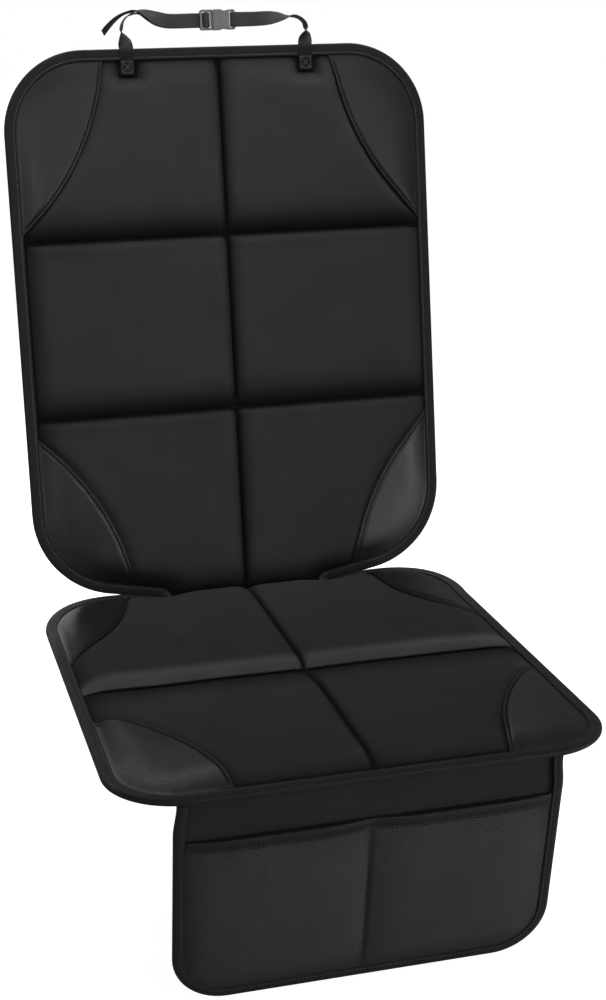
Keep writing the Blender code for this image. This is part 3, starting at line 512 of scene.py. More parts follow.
def compacted(verts, triangles):
    """Numbers of the points that the triangles use, and the triangles over those alone."""
    used = np.unique(triangles)
    number = np.full(len(verts), -1)
    number[used] = np.arange(len(used))
    return used, number[triangles]


def border(triangles):
    """Pairs of points along the edges that only one triangle has."""
    edges = {(t[k], t[(k + 1) % 3]): None for t in triangles for k in range(3)}
    return [(a, b) for a, b in edges if (b, a) not in edges]


def slab(name, verts, triangles, place, low, high, materials, crease=50.0):
    """Closed thin sheet over a flat triangulation."""
    used, tris = compacted(verts, triangles)
    flat = verts[used]
    count = len(used)
    sides = [place(flat[:, 0], flat[:, 1], level[used]) for level in (high, low)]
    faces = [tuple(t) for t in tris] + [tuple(t[::-1] + count) for t in tris]
    faces += [(b, a, a + count, b + count) for a, b in border(tris)]
    spots = np.concatenate([np.column_stack([flat, level[used]]) for level in (high, low)])
    return make(name, np.concatenate(sides), faces, spots, materials, crease=crease)


def tube_faces(rings, sides, closed=False, first=0):
    """Faces through rings of points that are numbered from first, with an end at both ends unless closed."""
    faces = []
    for i in range(rings if closed else rings - 1):
        near = first + i * sides
        far = first + (i + 1) % rings * sides
        for k in range(sides):
            q = (k + 1) % sides
            faces.append((near + k, near + q, far + q, far + k))
    if not closed:
        faces.append(tuple(range(first, first + sides)))
        faces.append(tuple(range(first + (rings - 1) * sides, first + rings * sides)))
    return faces


def band(name, line, section, place, materials, closed=True, crease=60.0):
    """A strip of constant section (depth from the edge, height) along a flat line."""
    legs = np.linalg.norm(np.diff(line, axis=0), axis=1)
    along = np.concatenate([[0.0], np.cumsum(legs)])
    rails = [inset(line, depth, closed) for depth, _ in section]
    rings = np.stack([
        place(rail[:, 0], rail[:, 1], np.full(len(rail), height))
        for rail, (_, height) in zip(rails, section)
    ], axis=1)
    n, m = rings.shape[:2]
    around = np.concatenate([[0.0], np.cumsum([math.dist(a, b) for a, b in zip(section, section[1:])])])
    flat = np.stack([
        np.repeat(along[:, None], m, axis=1),
        np.repeat(around[None, :], n, axis=0),
        np.zeros((n, m)),
    ], axis=2)
    faces = tube_faces(n, m, closed)
    return make(name, rings.reshape(-1, 3), faces, flat.reshape(-1, 3), materials, crease=crease)


STITCHES = []
STITCH_SIDES = 6
STITCH_FLATNESS = 0.8
STITCH_STEP = 0.002
STITCH_INSET = 0.0024
THREAD_SINK = 0.0001
# Share of a stitch's length, size and lift of each of its rings
STITCH_RINGS = ((-0.5, 0.35, -0.35), (-0.28, 0.9, 0.25), (0.28, 0.9, 0.25), (0.5, 0.35, -0.35))


def stitch_row(points, normals, pitch=0.0042, length=0.0031, thick=0.00042):
    """Adds one row of thread, each stitch a short spindle that dips in at its ends."""
    spots, _ = resample(np.hstack([points, normals]), pitch)
    turns = [2 * math.pi * k / STITCH_SIDES for k in range(STITCH_SIDES)]
    for i in range(len(spots) - 1):
        a = Vector(spots[i, :3])
        b = Vector(spots[i + 1, :3])
        up = Vector((spots[i, 3:] + spots[i + 1, 3:]) / 2).normalized()
        along = (b - a).normalized()
        across = along.cross(up).normalized()
        up = across.cross(along)
        middle = (a + b) / 2
        rings = []
        for share, size, lift in STITCH_RINGS:
            centre = middle + along * (length * share) + up * (thick * lift)
            rings.append([
                centre + (across * math.cos(t) + up * math.sin(t) * STITCH_FLATNESS) * (thick * size)
                for t in turns
            ])
        STITCHES.append(rings)


def stitch_mesh(name, material, slot):
    """One object from the rows that were added, whose list is then emptied."""
    verts = []
    faces = []
    for rings in STITCHES:
        faces += tube_faces(len(rings), STITCH_SIDES, first=len(verts))
        for ring in rings:
            verts += ring
    STITCHES.clear()
    verts = np.array([tuple(v) for v in verts])
    return placed(make(name, verts, faces, verts, [material]), slot)


def sewn(flat, height, place, facing=1.0, **sizes):
    """A row of stitches over flat points, at a height off the sheet, on its top or with -1 below it."""
    u, s = flat[:, 0], flat[:, 1]
    low = place(u, s, height)
    high = place(u, s, height + UNIT)
    stitch_row(low, (high - low) * (facing / UNIT), **sizes)


# Materials

WHITE = (1.0, 1.0, 1.0, 1.0)
WORLD_LIGHT = 0.13

# Painted shade and painted highlight beside the quilting seams: distances at which each starts, is full,
# fades and ends
PAINTED_CHANNEL_SHADE = 0.03
CHANNEL_HALF = 0.0008
SEAT_CHANNEL = 0.0016
BACK_CHANNEL = 0.0036
COLUMN_CHANNEL = (0.0010, 0.0052)
# Painted highlight on the front edges of the seat's rear cells: its distances, then its level.
PAINTED_LIT_WALL = (0.0006, 0.0014, 0.008, 0.024)
PAINTED_WALL_HIGHLIGHT = 3.2
PAINTED_SEAT_ROW_SHADE = (-0.040, -0.004, -0.001, 0.0)
PAINTED_SHADE_ABOVE_ROW = (0.0, 0.0005, 0.002, 0.022)
PAINTED_SHADE_BELOW_ROW = (-0.018, -0.009, -0.004, -0.002)


class Nodes:
    """Short hand for building one material's node tree."""

    def __init__(self, name):
        self.made = bpy.data.materials.new(name)
        self.made.use_nodes = True
        self.tree = self.made.node_tree
        self.shader = self.tree.nodes["Principled BSDF"]

    def put(self, socket, value):
        if isinstance(value, bpy.types.NodeSocket):
            self.tree.links.new(value, socket)
        else:
            socket.default_value = value

    def add(self, kind, inputs=None, out=0, **settings):
        node = self.tree.nodes.new(kind)
        for key, value in settings.items():
            setattr(node, key, value)
        for key, value in (inputs or {}).items():
            self.put(node.inputs[key], value)
        return node.outputs[out]

    def math(self, operation, a, b=0.0):
        return self.add("ShaderNodeMath", {0: a, 1: b}, operation=operation)

    def product(self, first, *others):
        for other in others:
            first = self.math("MULTIPLY", first, other)
        return first

    def mix(self, share, a, b):
        node = self.tree.nodes.new("ShaderNodeMix")
        node.data_type = "RGBA"
        node.clamp_factor = False
        self.put(node.inputs[0], share)
        self.put(node.inputs[6], a)
        self.put(node.inputs[7], b)
        return node.outputs[2]

    def flat(self):
        return self.add("ShaderNodeAttribute", out=1, attribute_name="flat")

    def object(self):
        return self.add("ShaderNodeTexCoord", out=3)

    def axes(self, vector):
        split = self.tree.nodes.new("ShaderNodeSeparateXYZ")
        self.put(split.inputs[0], vector)
        return split.outputs

    def noise(self, vector, scale, detail=2.0, roughness=0.5):
        return self.add("ShaderNodeTexNoise", {
            "Vector": vector, "Scale": scale, "Detail": detail, "Roughness": roughness})

    def cells(self, vector, scale, feature="F1", **inputs):
        return self.add("ShaderNodeTexVoronoi", {"Vector": vector, "Scale": scale, **inputs}, feature=feature)

    def range(self, value, low, high, out_low, out_high):
        return self.add("ShaderNodeMapRange", {0: value, 1: low, 2: high, 3: out_low, 4: out_high})

    def vary(self, noise, low, high):
        """The usual spread of a noise, as low to high."""
        return self.range(noise, 0.3, 0.7, low, high)

    def sine(self, value, pitch):
        return self.math("SINE", self.product(value, math.pi / pitch))

    def wave(self, value, pitch):
        """Absolute sine with one hump per pitch."""
        return self.math("ABSOLUTE", self.sine(value, pitch))

    def bump(self, height, distance, strength=1.0, normal=None):
        inputs = {"Height": height, "Distance": distance, "Strength": strength}
        if normal is not None:
            inputs["Normal"] = normal
        return self.add("ShaderNodeBump", inputs)

    def finish(self, colour, roughness, normal=None, **plain):
        self.put(self.shader.inputs["Base Color"], colour)
        self.put(self.shader.inputs["Roughness"], roughness)
        if normal is not None:
            self.put(self.shader.inputs["Normal"], normal)
        for key, value in plain.items():
            self.shader.inputs[key.replace("_", " ")].default_value = value
        return self.made


def grey(value, tint=1.0):
    return (value, value, value * (1.0 + 0.05 * tint), 1.0)


def weave_height(n, vector, pitch):
    """Plain weave: threads that pass over and under each other."""
    x, y, _ = n.axes(vector)
    over = n.math("GREATER_THAN", n.product(n.sine(x, pitch), n.sine(y, pitch)), 0.0)
    warp = n.product(n.wave(x, pitch), over)
    weft = n.product(n.wave(y, pitch), n.math("SUBTRACT", 1.0, over))
    return n.math("ADD", warp, weft)


def between(n, value, low, rise, fall, high):
    """1 from rise to fall, and 0 below low and above high."""
    return n.product(n.range(value, low, rise, 0.0, 1.0), n.range(value, fall, high, 1.0, 0.0))


def faded(n, shade, mask, share):
    """The shade, less that share of it where the mask is 1."""
    return n.product(shade, n.math("SUBTRACT", 1.0, n.product(mask, share)))


def painted_seam_shade(n, vector):
    """Painted shade: dark channels along the quilting seams and the soft shade of the cells that lean over
    them, with painted highlight on parts of the seat's cells.
    """
    x, y, height = n.axes(vector)
    # Painted shade: the cloth is darker the lower it lies in a channel, and lighter on the cells' crowns.
    shade = n.product(
        n.range(height, RIM + 0.0003, RIM + 0.0030, 0.10, 0.85),
        n.range(height, RIM + 0.0010, RIM + 0.0115, 0.55, 1.5),
    )
    behind = n.math("SUBTRACT", y, SEAT_ROW)
    # The front edges of the seat's rear cells face the light, and a painted highlight brightens them further.
    painted_lip_mask = between(n, behind, *PAINTED_LIT_WALL)
    shade = n.math("ADD", shade, n.product(painted_lip_mask, n.math("SUBTRACT", PAINTED_WALL_HIGHLIGHT, shade)))
    # Painted shade on the seat's front cells, just ahead of the row.
    shade = faded(n, shade, between(n, behind, *PAINTED_SEAT_ROW_SHADE), 0.65)
    # Painted light on the seat's front cells, and painted shade in the column's channel.
    shade = n.product(
        shade,
        n.range(behind, -0.070, -0.040, 1.3, 1.0),
        n.range(n.math("ABSOLUTE", x), *COLUMN_CHANNEL, PAINTED_CHANNEL_SHADE, 1.0),
    )
    # Painted shade in the channels of the rows.
    for row, reach in ((SEAT_ROW, SEAT_CHANNEL), (BACK_ROWS[0], BACK_CHANNEL), (BACK_ROWS[1], BACK_CHANNEL)):
        off = n.math("ABSOLUTE", n.math("SUBTRACT", y, row))
        shade = n.product(shade, n.range(off, CHANNEL_HALF, reach, PAINTED_CHANNEL_SHADE, 1.0))
    # Painted shade above each back row, and a little painted shade just below it.
    for row in BACK_ROWS:
        over = n.math("SUBTRACT", y, row)
        shade = faded(n, shade, between(n, over, *PAINTED_SHADE_ABOVE_ROW), 0.75)
        shade = faded(n, shade, between(n, over, *PAINTED_SHADE_BELOW_ROW), 0.25)
    return shade


def woven(name, colour, pitch=0.0009, roughness=0.82, sheen=0.03, channels=False):
    n = Nodes(name)
    vector = n.flat()
    threads = weave_height(n, vector, pitch)
    patchy = n.noise(vector, 26.0, 3.0)
    fibre = n.noise(vector, 1400.0, 2.0)
    shade = n.product(
        n.vary(patchy, 0.88, 1.12),
        n.range(threads, 0.0, 1.0, 0.72, 1.10),
        n.vary(fibre, 0.9, 1.1),
    )
    if channels:
        # Painted shade in the channels of the quilting, and painted light on parts of the seat's cells.
        shade = n.product(shade, painted_seam_shade(n, vector))
    tone = n.mix(shade, grey(0.0), grey(colour))
    normal = n.bump(threads, 0.00022, 0.8)
    normal = n.bump(n.noise(vector, 420.0, 3.0), 0.00025, 0.5, normal)
    rough = n.vary(patchy, roughness - 0.05, roughness + 0.05)
    return n.finish(tone, rough, normal, Sheen_Weight=sheen, Sheen_Roughness=0.45, Specular_IOR_Level=0.14)


def leatherette(name, colour):
    n = Nodes(name)
    vector = n.flat()
    cells = n.cells(vector, 780.0, feature="DISTANCE_TO_EDGE")
    folds = n.noise(vector, 320.0, 4.0, 0.6)
    wide = n.noise(vector, 18.0, 2.0)
    grain = n.math("ADD", n.range(cells, 0.0, 0.22, 0.0, 1.0), n.product(folds, 0.7))
    normal = n.bump(grain, 0.00016, 0.55)
    normal = n.bump(wide, 0.004, 0.25, normal)
    tone = n.mix(n.range(grain, 0.2, 1.4, 0.0, 1.0), grey(colour * 0.7), grey(colour * 1.15))
    rough = n.range(n.math("ADD", wide, n.product(grain, -0.15)), 0.2, 0.7, 0.38, 0.29)
    return n.finish(tone, rough, normal, Specular_IOR_Level=0.5)


def tape(name, colour, pitch=0.0011, sewn_end=False):
    """Ribbed binding: x runs along the tape and y round it."""
    n = Nodes(name)
    vector = n.flat()
    x, y, _ = n.axes(vector)
    cross = n.wave(n.math("ADD", y, n.product(x, 0.5)), pitch * 1.4)
    height = n.math("ADD", n.wave(x, pitch), n.product(cross, 0.5))
    patchy = n.noise(vector, 60.0, 3.0)
    shade = n.product(n.range(height, 0.0, 1.5, 0.75, 1.15), n.vary(patchy, 0.85, 1.15))
    tone = n.mix(shade, grey(0.0), grey(colour))
    if sewn_end:
        # The end that is sewn on the pad lies flat and is darker up to its stitches.
        pressed = n.range(x, ANCHOR_DEPTH - 0.004, ANCHOR_DEPTH + 0.004, 0.82, 0.0)
        tone = n.mix(pressed, tone, grey(0.0))
    return n.finish(tone, n.vary(patchy, 0.6, 0.72), n.bump(height, 0.0002, 0.8),
                    Sheen_Weight=0.06, Sheen_Roughness=0.4, Specular_IOR_Level=0.25)


def knit(name, colour):
    n = Nodes(name)
    vector = n.flat()
    fibre = n.noise(vector, 2200.0, 2.0)
    wide = n.noise(vector, 30.0, 2.0)
    x, y, _ = n.axes(vector)
    aside = n.math("ABSOLUTE", x)
    hem = POCKET_TOP + HEM_HEIGHT
    shade = n.product(
        n.vary(fibre, 0.8, 1.2),
        n.vary(wide, 0.88, 1.12),
        # The knit is dark along its middle seam, and painted shade darkens it beside the tape and under the
        # hem.
        n.range(aside, 0.0017, 0.0046, 0.03, 1.0),
        n.range(aside, 0.148, 0.169, 1.0, 0.45),
        n.range(y, 0.188, 0.211, 1.0, 0.45),
        n.range(y, hem, hem + 0.028, 0.75, 1.0),
    )
    tone = n.mix(shade, grey(0.0), grey(colour))
    return n.finish(tone, 0.5, n.bump(fibre, 0.0001, 0.6), Sheen_Weight=0.1)


def moulded(name, colour):
    n = Nodes(name)
    vector = n.object()
    fine = n.noise(vector, 2600.0, 3.0, 0.6)
    wide = n.noise(vector, 160.0, 2.0)
    tone = n.mix(n.vary(wide, 0.0, 1.0), grey(colour * 0.85), grey(colour * 1.2))
    return n.finish(tone, n.vary(wide, 0.36, 0.5), n.bump(fine, 0.00006, 0.5))


def thread(name, colour):
    n = Nodes(name)
    vector = n.object()
    twist = n.noise(vector, 3000.0, 2.0)
    tone = n.mix(n.vary(twist, 0.0, 1.0), grey(colour * 0.7), grey(colour * 1.3))
    return n.finish(tone, 0.72, n.bump(twist, 0.00008, 0.6), Sheen_Weight=0.03, Specular_IOR_Level=0.2)


def backing(name, colour):
    """Non slip backing with a grid of small raised dots."""
    n = Nodes(name)
    vector = n.flat()
    height = n.range(n.cells(vector, 160.0, Randomness=0.0), 0.22, 0.34, 1.0, 0.0)
    threads = weave_height(n, vector, 0.0012)
    tone = n.mix(height, grey(colour), grey(colour * 0.6))
    normal = n.bump(height, 0.0005, 0.9, n.bump(threads, 0.0002, 0.5))
    return n.finish(tone, n.range(height, 0.0, 1.0, 0.85, 0.5), normal)


# The pad's cloth carries painted shade and painted highlight by its quilting seams.
FABRIC = woven("pad_fabric", 0.0145, channels=True)
FLAP_FABRIC = woven("flap_fabric", 0.018)
LEATHER = leatherette("leatherette", 0.009)
TAPE = tape("binding_tape", 0.0065)
MESH = knit("mesh_knit", 0.034)
WEB = tape("webbing", 0.019, 0.0014, sewn_end=True)
PLASTIC = moulded("buckle_plastic", 0.060)
THREAD = thread("thread", 0.055)
DARK_THREAD = thread("dark_thread", 0.004)
BACKING = backing("backing", 0.020)


# The quilted pad and its corner patches

RIDGE = (0.0012, 0.0016, 0.0022, 0.0030, 0.0038, 0.0044, 0.0052, 0.0060, 0.0072, 0.0105)
RIDGE_LIFT = (0.0, 0.0009, 0.0015, 0.0017, 0.0014, 0.0006, -0.0004, 0.0003, 0.0007, 0.0)
PATCH_STITCH = 0.0052
RIDGE_END = 0.004
SEAM_BEFORE_FOLD = 0.008
SEAM_AFTER_FOLD = 0.010


def clipped(points, depth):
    """The points that lie at least depth inside the mat's edge."""
    return points[inside(OUTLINE, points) & (line_distance(COARSE, points) > depth)]


def pad_points_flat():
    """Dense flat points, aligned with the quilting lines."""
    us = np.arange(0.0, SEAT_HALF + GRID, GRID)
    us = np.concatenate([-us[:0:-1], us])
    stops = [-SEAT_LENGTH, SEAT_ROW, 0.0, *BACK_ROWS, BACK_LENGTH]
    ss = [FOLD_ARC * k / 3 for k in (-2, -1, 1, 2)]
    for low, high in zip(stops, stops[1:]):
        ss += list(np.linspace(low, high, int(round((high - low) / GRID)), endpoint=False))
    grid = clipped(np.array([(u, s) for s in ss for u in us]), TAPE_WIDTH + GRID_CLEAR)
    keep = np.ones(len(grid), dtype=bool)
    for _, panel, centre, radius, _, _ in CORNERS:
        depth = radius - np.hypot(grid[:, 0] - centre.x, grid[:, 1] - centre.y)
        keep &= ~((panel * grid[:, 1] > 0.0) & (depth > -GRID_CLEAR) & (depth < RIDGE[-1] + 0.002))
    return grid[keep]


def pad_layout():
    """Points and triangles of the flat mat, with the patch seams and the tape's inner edge as lines."""
    rim = inset(OUTLINE, EDGE)
    chains = [seam_arc(patch, depth) for patch in CORNERS for depth in (0.0, SEAM_GROOVE)]
    extra = [clipped(seam_arc(patch, depth), TAPE_WIDTH * 0.3) for patch in CORNERS for depth in RIDGE[1:]]
    rings = [inset(OUTLINE, depth) for depth in (TAPE_WIDTH * 0.5, TAPE_WIDTH + GAP)]
    points = np.concatenate([pad_points_flat(), *extra])
    verts, triangles, _ = triangulate([rim, *rings], chains, points)
    return verts, kept_within(verts, triangles, rim)


def ridge(depth):
    return np.interp(depth, RIDGE, RIDGE_LIFT, left=0.0, right=0.0)


def build_cushion(verts, triangles, heights):
    """The closed pad: its quilted top over a coarser flat underside."""
    used, tris = compacted(verts, triangles)
    flat = verts[used]
    top = on_mat(flat[:, 0], flat[:, 1], heights[used])
    after = dict(border(tris))
    loop = [next(iter(after))]
    while after[loop[-1]] != loop[0]:
        loop.append(after[loop[-1]])
    us = np.arange(UNDER_GRID - BACK_HALF, BACK_HALF, UNDER_GRID)
    ss = np.concatenate([
        np.arange(UNDER_START - SEAT_LENGTH, BACK_LENGTH, UNDER_GRID),
        [FOLD_ARC * k / 3 for k in (-3, -2, -1, 1, 2, 3)],
    ])
    grid = clipped(np.array([(u, s) for s in ss for u in us]), TAPE_WIDTH + UNDER_CLEAR)
    low, floor, places = triangulate([flat[loop]], [], grid)
    floor = kept_within(low, floor, flat[loop])
    start = len(top)
    under = on_mat(low[:, 0], low[:, 1], np.zeros(len(low)))
    faces = [tuple(t) for t in tris] + [tuple(t[::-1] + start) for t in floor]
    slots = [0] * len(tris) + [1] * len(floor) + [0] * len(loop)
    for k, i in enumerate(loop):
        after_k = (k + 1) % len(loop)
        faces.append((loop[after_k], i, places[k] + start, places[after_k] + start))
    spots = np.concatenate([
        np.column_stack([flat, heights[used]]),
        np.column_stack([low, np.zeros(len(low))]),
    ])
    points = np.concatenate([top, under])
    pad = make("pad_cushion", points, faces, spots, [FABRIC, BACKING], slots, crease=70.0)
    placed(pad, "pad_fabric", "quilted_pad")


def build_pad():
    verts, triangles = pad_layout()
    heights, depth = top_height(verts)
    # Under a patch the pad lies lower, and the groove between them is a steep wall.
    under_patch = depth > SEAM_GROOVE * 0.9
    build_cushion(verts, triangles, heights - (PATCH_THICK + PATCH_GAP) * under_patch)
    edge = line_distance(COARSE, verts) - TAPE_WIDTH
    lift = ridge(depth) * smooth(edge / RIDGE_END)
    centres = verts[triangles].mean(axis=1)
    for name, panel, centre, radius, _, _ in CORNERS:
        away = np.hypot(centres[:, 0] - centre.x, centres[:, 1] - centre.y)
        mine = triangles[(panel * centres[:, 1] > 0.0) & (away < radius - SEAM_GROOVE)]
        skin = slab("skin_" + name, verts, mine, on_mat, heights - PATCH_THICK, heights + lift, [LEATHER])
        placed(skin, "leatherette", name)


def quilting_stitches():
    margin = TAPE_WIDTH + 0.002
    columns = (
        np.arange(margin + STITCH_STEP - SEAT_LENGTH, -SEAM_BEFORE_FOLD, STITCH_STEP),
        np.arange(SEAM_AFTER_FOLD, BACK_LENGTH - margin, STITCH_STEP),
    )
    lines = [np.array([(0.0, s) for s in column]) for column in columns]
    for row in (*BACK_ROWS, SEAT_ROW):
        line = np.array([(u, row) for u in np.arange(-BACK_HALF, BACK_HALF + GAP, STITCH_STEP)])
        lines.append(clipped(line, margin))
    for line in lines:
        sewn(line, top_height(line)[0] + THREAD_SINK, on_mat)
    stitch_mesh("quilting_thread", DARK_THREAD, "pad_fabric")
    for patch in CORNERS:
        line = clipped(seam_arc(patch, PATCH_STITCH, STITCH_STEP), margin)
        lift = ridge(np.full(len(line), PATCH_STITCH)) + 2 * THREAD_SINK
        sewn(line, top_height(line)[0] + lift, on_mat, pitch=0.0050, length=0.0036, thick=0.0010)
    stitch_mesh("patch_thread", DARK_THREAD, "leatherette")


def tape_section(width, inner_low, inner_high):
    """Tape folded round an edge, with a soft outer fold and a shallow stitch line."""
    low = inner_low - TAPE_THICK
    high = inner_high + TAPE_THICK
    centre = (low + high) / 2
    half = (high - low) / 2
    deep = min(0.0026, half)
    groove = [
        (width, BEVEL), (width - 0.0004, 0.0), (width - 0.0020, 0.0001),
        (width - STITCH_INSET, BEVEL), (width - 0.0029, 0.0001), (width * 0.5, -0.0001),
    ]
    section = [(width, inner_high), (TAPE_THICK, inner_high), (TAPE_THICK, inner_low), (width, inner_low)]
    section += [(depth, low + dip) for depth, dip in groove]
    for k in range(9):
        angle = -math.pi / 2 + math.pi * k / 8
        section.append((deep - deep * math.cos(angle), centre + half * math.sin(angle)))
    return section + [(depth, high - dip) for depth, dip in reversed(groove)]


def build_binding():
    section = tape_section(TAPE_WIDTH, -GAP, RIM + GAP)
    bound = band("binding_tape", OUTLINE, section, on_mat, [TAPE])
    placed(bound, "binding_tape", "edge_binding")
    line = inset(OUTLINE, TAPE_WIDTH - STITCH_INSET)
    line = np.vstack([line, line[:1]])
    sewn(line, np.full(len(line), RIM + GAP + TAPE_THICK - THREAD_SINK), on_mat)
    sewn(line, np.full(len(line), THREAD_SINK - GAP - TAPE_THICK), on_mat, facing=-1.0)
    stitch_mesh("binding_thread", THREAD, "binding_tape")


# The pocket flap

def flap_point(u, v, w):
    u, v, w = arrays(u, v, w)
    bent = np.clip(v + FLAP_ARC, 0.0, FLAP_ARC)
    angle = FLAP_TURN * bent / FLAP_ARC
    straight = v + FLAP_ARC - bent
    radius = FLAP_BEND + w
    centre_y = FRONT_Y + TAPE_WIDTH + GAP + FLAP_BEND + FLAP_THICK
    centre_z = -GAP - FLAP_THICK - FLAP_BEND
    y = centre_y - radius * np.sin(angle) - straight * np.cos(angle)
    z = centre_z + radius * np.cos(angle) - straight * np.sin(angle)
    return np.stack([u, y, z], axis=-1)


def flap_half(v):
    return FLAP_TOP_HALF + FLAP_TOP_INSET * float(smooth((v - FLAP_BEND) / FLAP_TAPER))


def flap_edge(start, step=0.005):
    stations = [start] + [v for v in np.linspace(FLAP_BEND, FLAP_BEND + FLAP_TAPER, 10) if v > start + 1e-6]
    left = [Vector((-flap_half(v), v)) for v in stations]
    corner = Vector((-FLAP_HALF, FLAP_DROP))
    left += arc_at(corner, Vector((-FLAP_HALF, 0.0)), Vector((0.0, FLAP_DROP)), FLAP_RADIUS)
    right = [Vector((-p.x, p.y)) for p in reversed(left)]
    return np.array([tuple(p) for p in divided(left + right, False, step)])


FLAP_LINE = flap_edge(0.0, 0.02)


def flap_inset(line, depth):
    return inset(line, -depth, closed=False)


def on_pocket(u, v, w):
    u, v, w = arrays(u, v, w)
    points = np.stack([u.ravel(), v.ravel()], axis=1)
    side = line_distance(FLAP_LINE, points, closed=False).reshape(u.shape) - FLAP_TAPE_WIDTH - GAP
    rise = swell(side, POCKET_SWELL, POCKET_POWER)
    rise = rise * swell(np.abs(u) - POCKET_SEAM_HALF, POCKET_SWELL, POCKET_POWER)
    bulge = POCKET_MOUTH + (POCKET_BULGE - POCKET_MOUTH) * smooth((v - POCKET_TOP) / POCKET_DEEPEN)
    return flap_point(u, v, MESH_BACK + bulge * rise + w)


def flap_layout():
    """Outline of the flap's cloth, and its flat points and triangles."""
    edge = flap_inset(flap_edge(0.0), EDGE)
    half = FLAP_TOP_HALF - EDGE
    bend = np.array([(half, -FLAP_ARC * k / 6) for k in range(1, 7)])
    tab = np.array([(half, -FLAP_ARC - FLAP_TAB), (-half, -FLAP_ARC - FLAP_TAB)])
    outline = np.vstack([edge, bend, tab, bend[::-1] * np.array([-1.0, 1.0])])
    count = int(2 * FLAP_HALF / FLAP_GRID)
    us = FLAP_GRID * (np.arange(count) - (count - 1) / 2)
    folds = [-FLAP_ARC * k / 6 for k in range(0, 7)]
    vs = np.concatenate([folds, np.arange(FLAP_GRID, FLAP_DROP - FLAP_GRID, FLAP_GRID)])
    grid = np.array([(u, v) for v in vs for u in us])
    grid = grid[inside(outline, grid) & (line_distance(outline, grid) > FLAP_GRID / 4)]
    verts, triangles, _ = triangulate([outline], [], grid)
    return verts, kept_within(verts, triangles, outline)


def build_flap():
    verts, triangles = flap_layout()
    low = np.zeros(len(verts))
    flap = slab("flap_cloth", verts, triangles, flap_point, low, low + FLAP_THICK, [FLAP_FABRIC])
    placed(flap, "pad_fabric", "front_flap")
    outer = MESH_BACK + MESH_THICK + GAP
    section = [(-depth, height) for depth, height in tape_section(FLAP_TAPE_WIDTH, -GAP, outer)]
    line = flap_edge(0.0)
    bound = band("flap_tape", line, section, flap_point, [TAPE], closed=False)
    placed(bound, "binding_tape", "flap_binding")
    seam = flap_inset(line, FLAP_TAPE_WIDTH - STITCH_INSET)
    sewn(seam, np.full(len(seam), outer + TAPE_THICK - THREAD_SINK), flap_point)
    stitch_mesh("flap_thread", THREAD, "binding_tape")
    stations = np.arange(POCKET_TOP + STITCH_STEP, FLAP_DROP - TAPE_WIDTH, STITCH_STEP)
    centre = np.array([(0.0, v) for v in stations])
    sewn(centre, np.full(len(centre), MESH_THICK + 0.0002), on_pocket)
    stitch_mesh("pocket_thread", DARK_THREAD, "binding_tape")


def knit_lattice(edge):
    """Small slanting cells with a hole in each: flat points, triangles and how many points are crossings."""
    reach = int((FLAP_HALF + FLAP_DROP) / KNIT * 0.75) + 2
    steps = np.arange(-reach, reach)
    middle_v = (POCKET_TOP + FLAP_DROP) / 2
    slant = KNIT * math.sqrt(0.5)

    def slanted(a, b):
        return np.stack([(a + b) * slant, middle_v + (a - b) * slant], axis=-1)

    cell_a, cell_b = (g.ravel() for g in np.meshgrid(steps, steps))
    centres = slanted(cell_a + 0.5, cell_b + 0.5)
    good = inside(edge, centres) & (line_distance(edge, centres) > KNIT * 0.8)
    cell_a, cell_b = cell_a[good], cell_b[good]
    width = 2 * reach + 2
    keys = [(cell_a + p + reach) * width + cell_b + q + reach for p, q in ((0, 0), (1, 0), (1, 1), (0, 1))]
    keys, numbers = np.unique(np.concatenate(keys), return_inverse=True)
    numbers = numbers.reshape(4, -1)
    crossings = slanted(keys // width - reach, keys % width - reach)
    holes = [
        slanted(cell_a + 0.5 + p * KNIT_HOLE, cell_b + 0.5 + q * KNIT_HOLE)
        for p, q in ((0.0, -0.5), (0.5, 0.0), (0.0, 0.5), (-0.5, 0.0))
    ]
    count = len(cell_a)
    spots = [len(crossings) + k * count + np.arange(count) for k in range(4)]
    faces = []
    for k in range(4):
        q = (k + 1) % 4
        faces.append(np.stack([numbers[k], numbers[q], spots[k]], axis=1))
        faces.append(np.stack([numbers[q], spots[q], spots[k]], axis=1))
    return np.vstack([crossings, *holes]), np.concatenate(faces), len(crossings)


def build_mesh():
    """Open knit, with its crossings raised like rows of dots."""
    flat, faces, crossings = knit_lattice(flap_inset(flap_edge(POCKET_TOP), EDGE + 0.001))
    height = np.full(len(flat), MESH_THICK * 0.85)
    height[:crossings] = MESH_THICK + 0.0002
    verts = on_pocket(flat[:, 0], flat[:, 1], height)
    knitted = make("mesh_pockets", verts, faces, np.column_stack([flat, height]), [MESH])
    placed(knitted, "mesh_fabric", "pocket_mesh")


def build_hem():
    """Tape folded over the pockets' mouths."""
    end = flap_half(POCKET_TOP) - FLAP_TAPE_WIDTH - 3 * GAP
    deep = GAP + HEM_THICK
    line = np.array([(u, POCKET_TOP - deep) for u in np.linspace(-end, end, 121)])
    width = deep + HEM_HEIGHT
    high = MESH_THICK + GAP + 0.0003
    over = high + HEM_THICK
    section = [
        (width, high), (HEM_THICK, high), (HEM_THICK, -GAP), (width, -GAP),
        (width, -deep), (BEVEL, -deep), (0.0, BEVEL - deep),
        (0.0, over - BEVEL), (BEVEL, over), (deep + HEM_HEIGHT * 0.5, over + 0.0002),
        (width - BEVEL, over), (width, over - BEVEL),
    ]
    hem = band("hem_tape", line, section, on_pocket, [TAPE], closed=False)
    placed(hem, "binding_tape", "pocket_hem")
    seam = np.array([(u, POCKET_TOP + HEM_HEIGHT - STITCH_STEP) for u in np.linspace(-end, end, 200)])
    sewn(seam, np.full(len(seam), over), on_pocket)
    stitch_mesh("hem_thread", THREAD, "binding_tape")


# The headrest strap

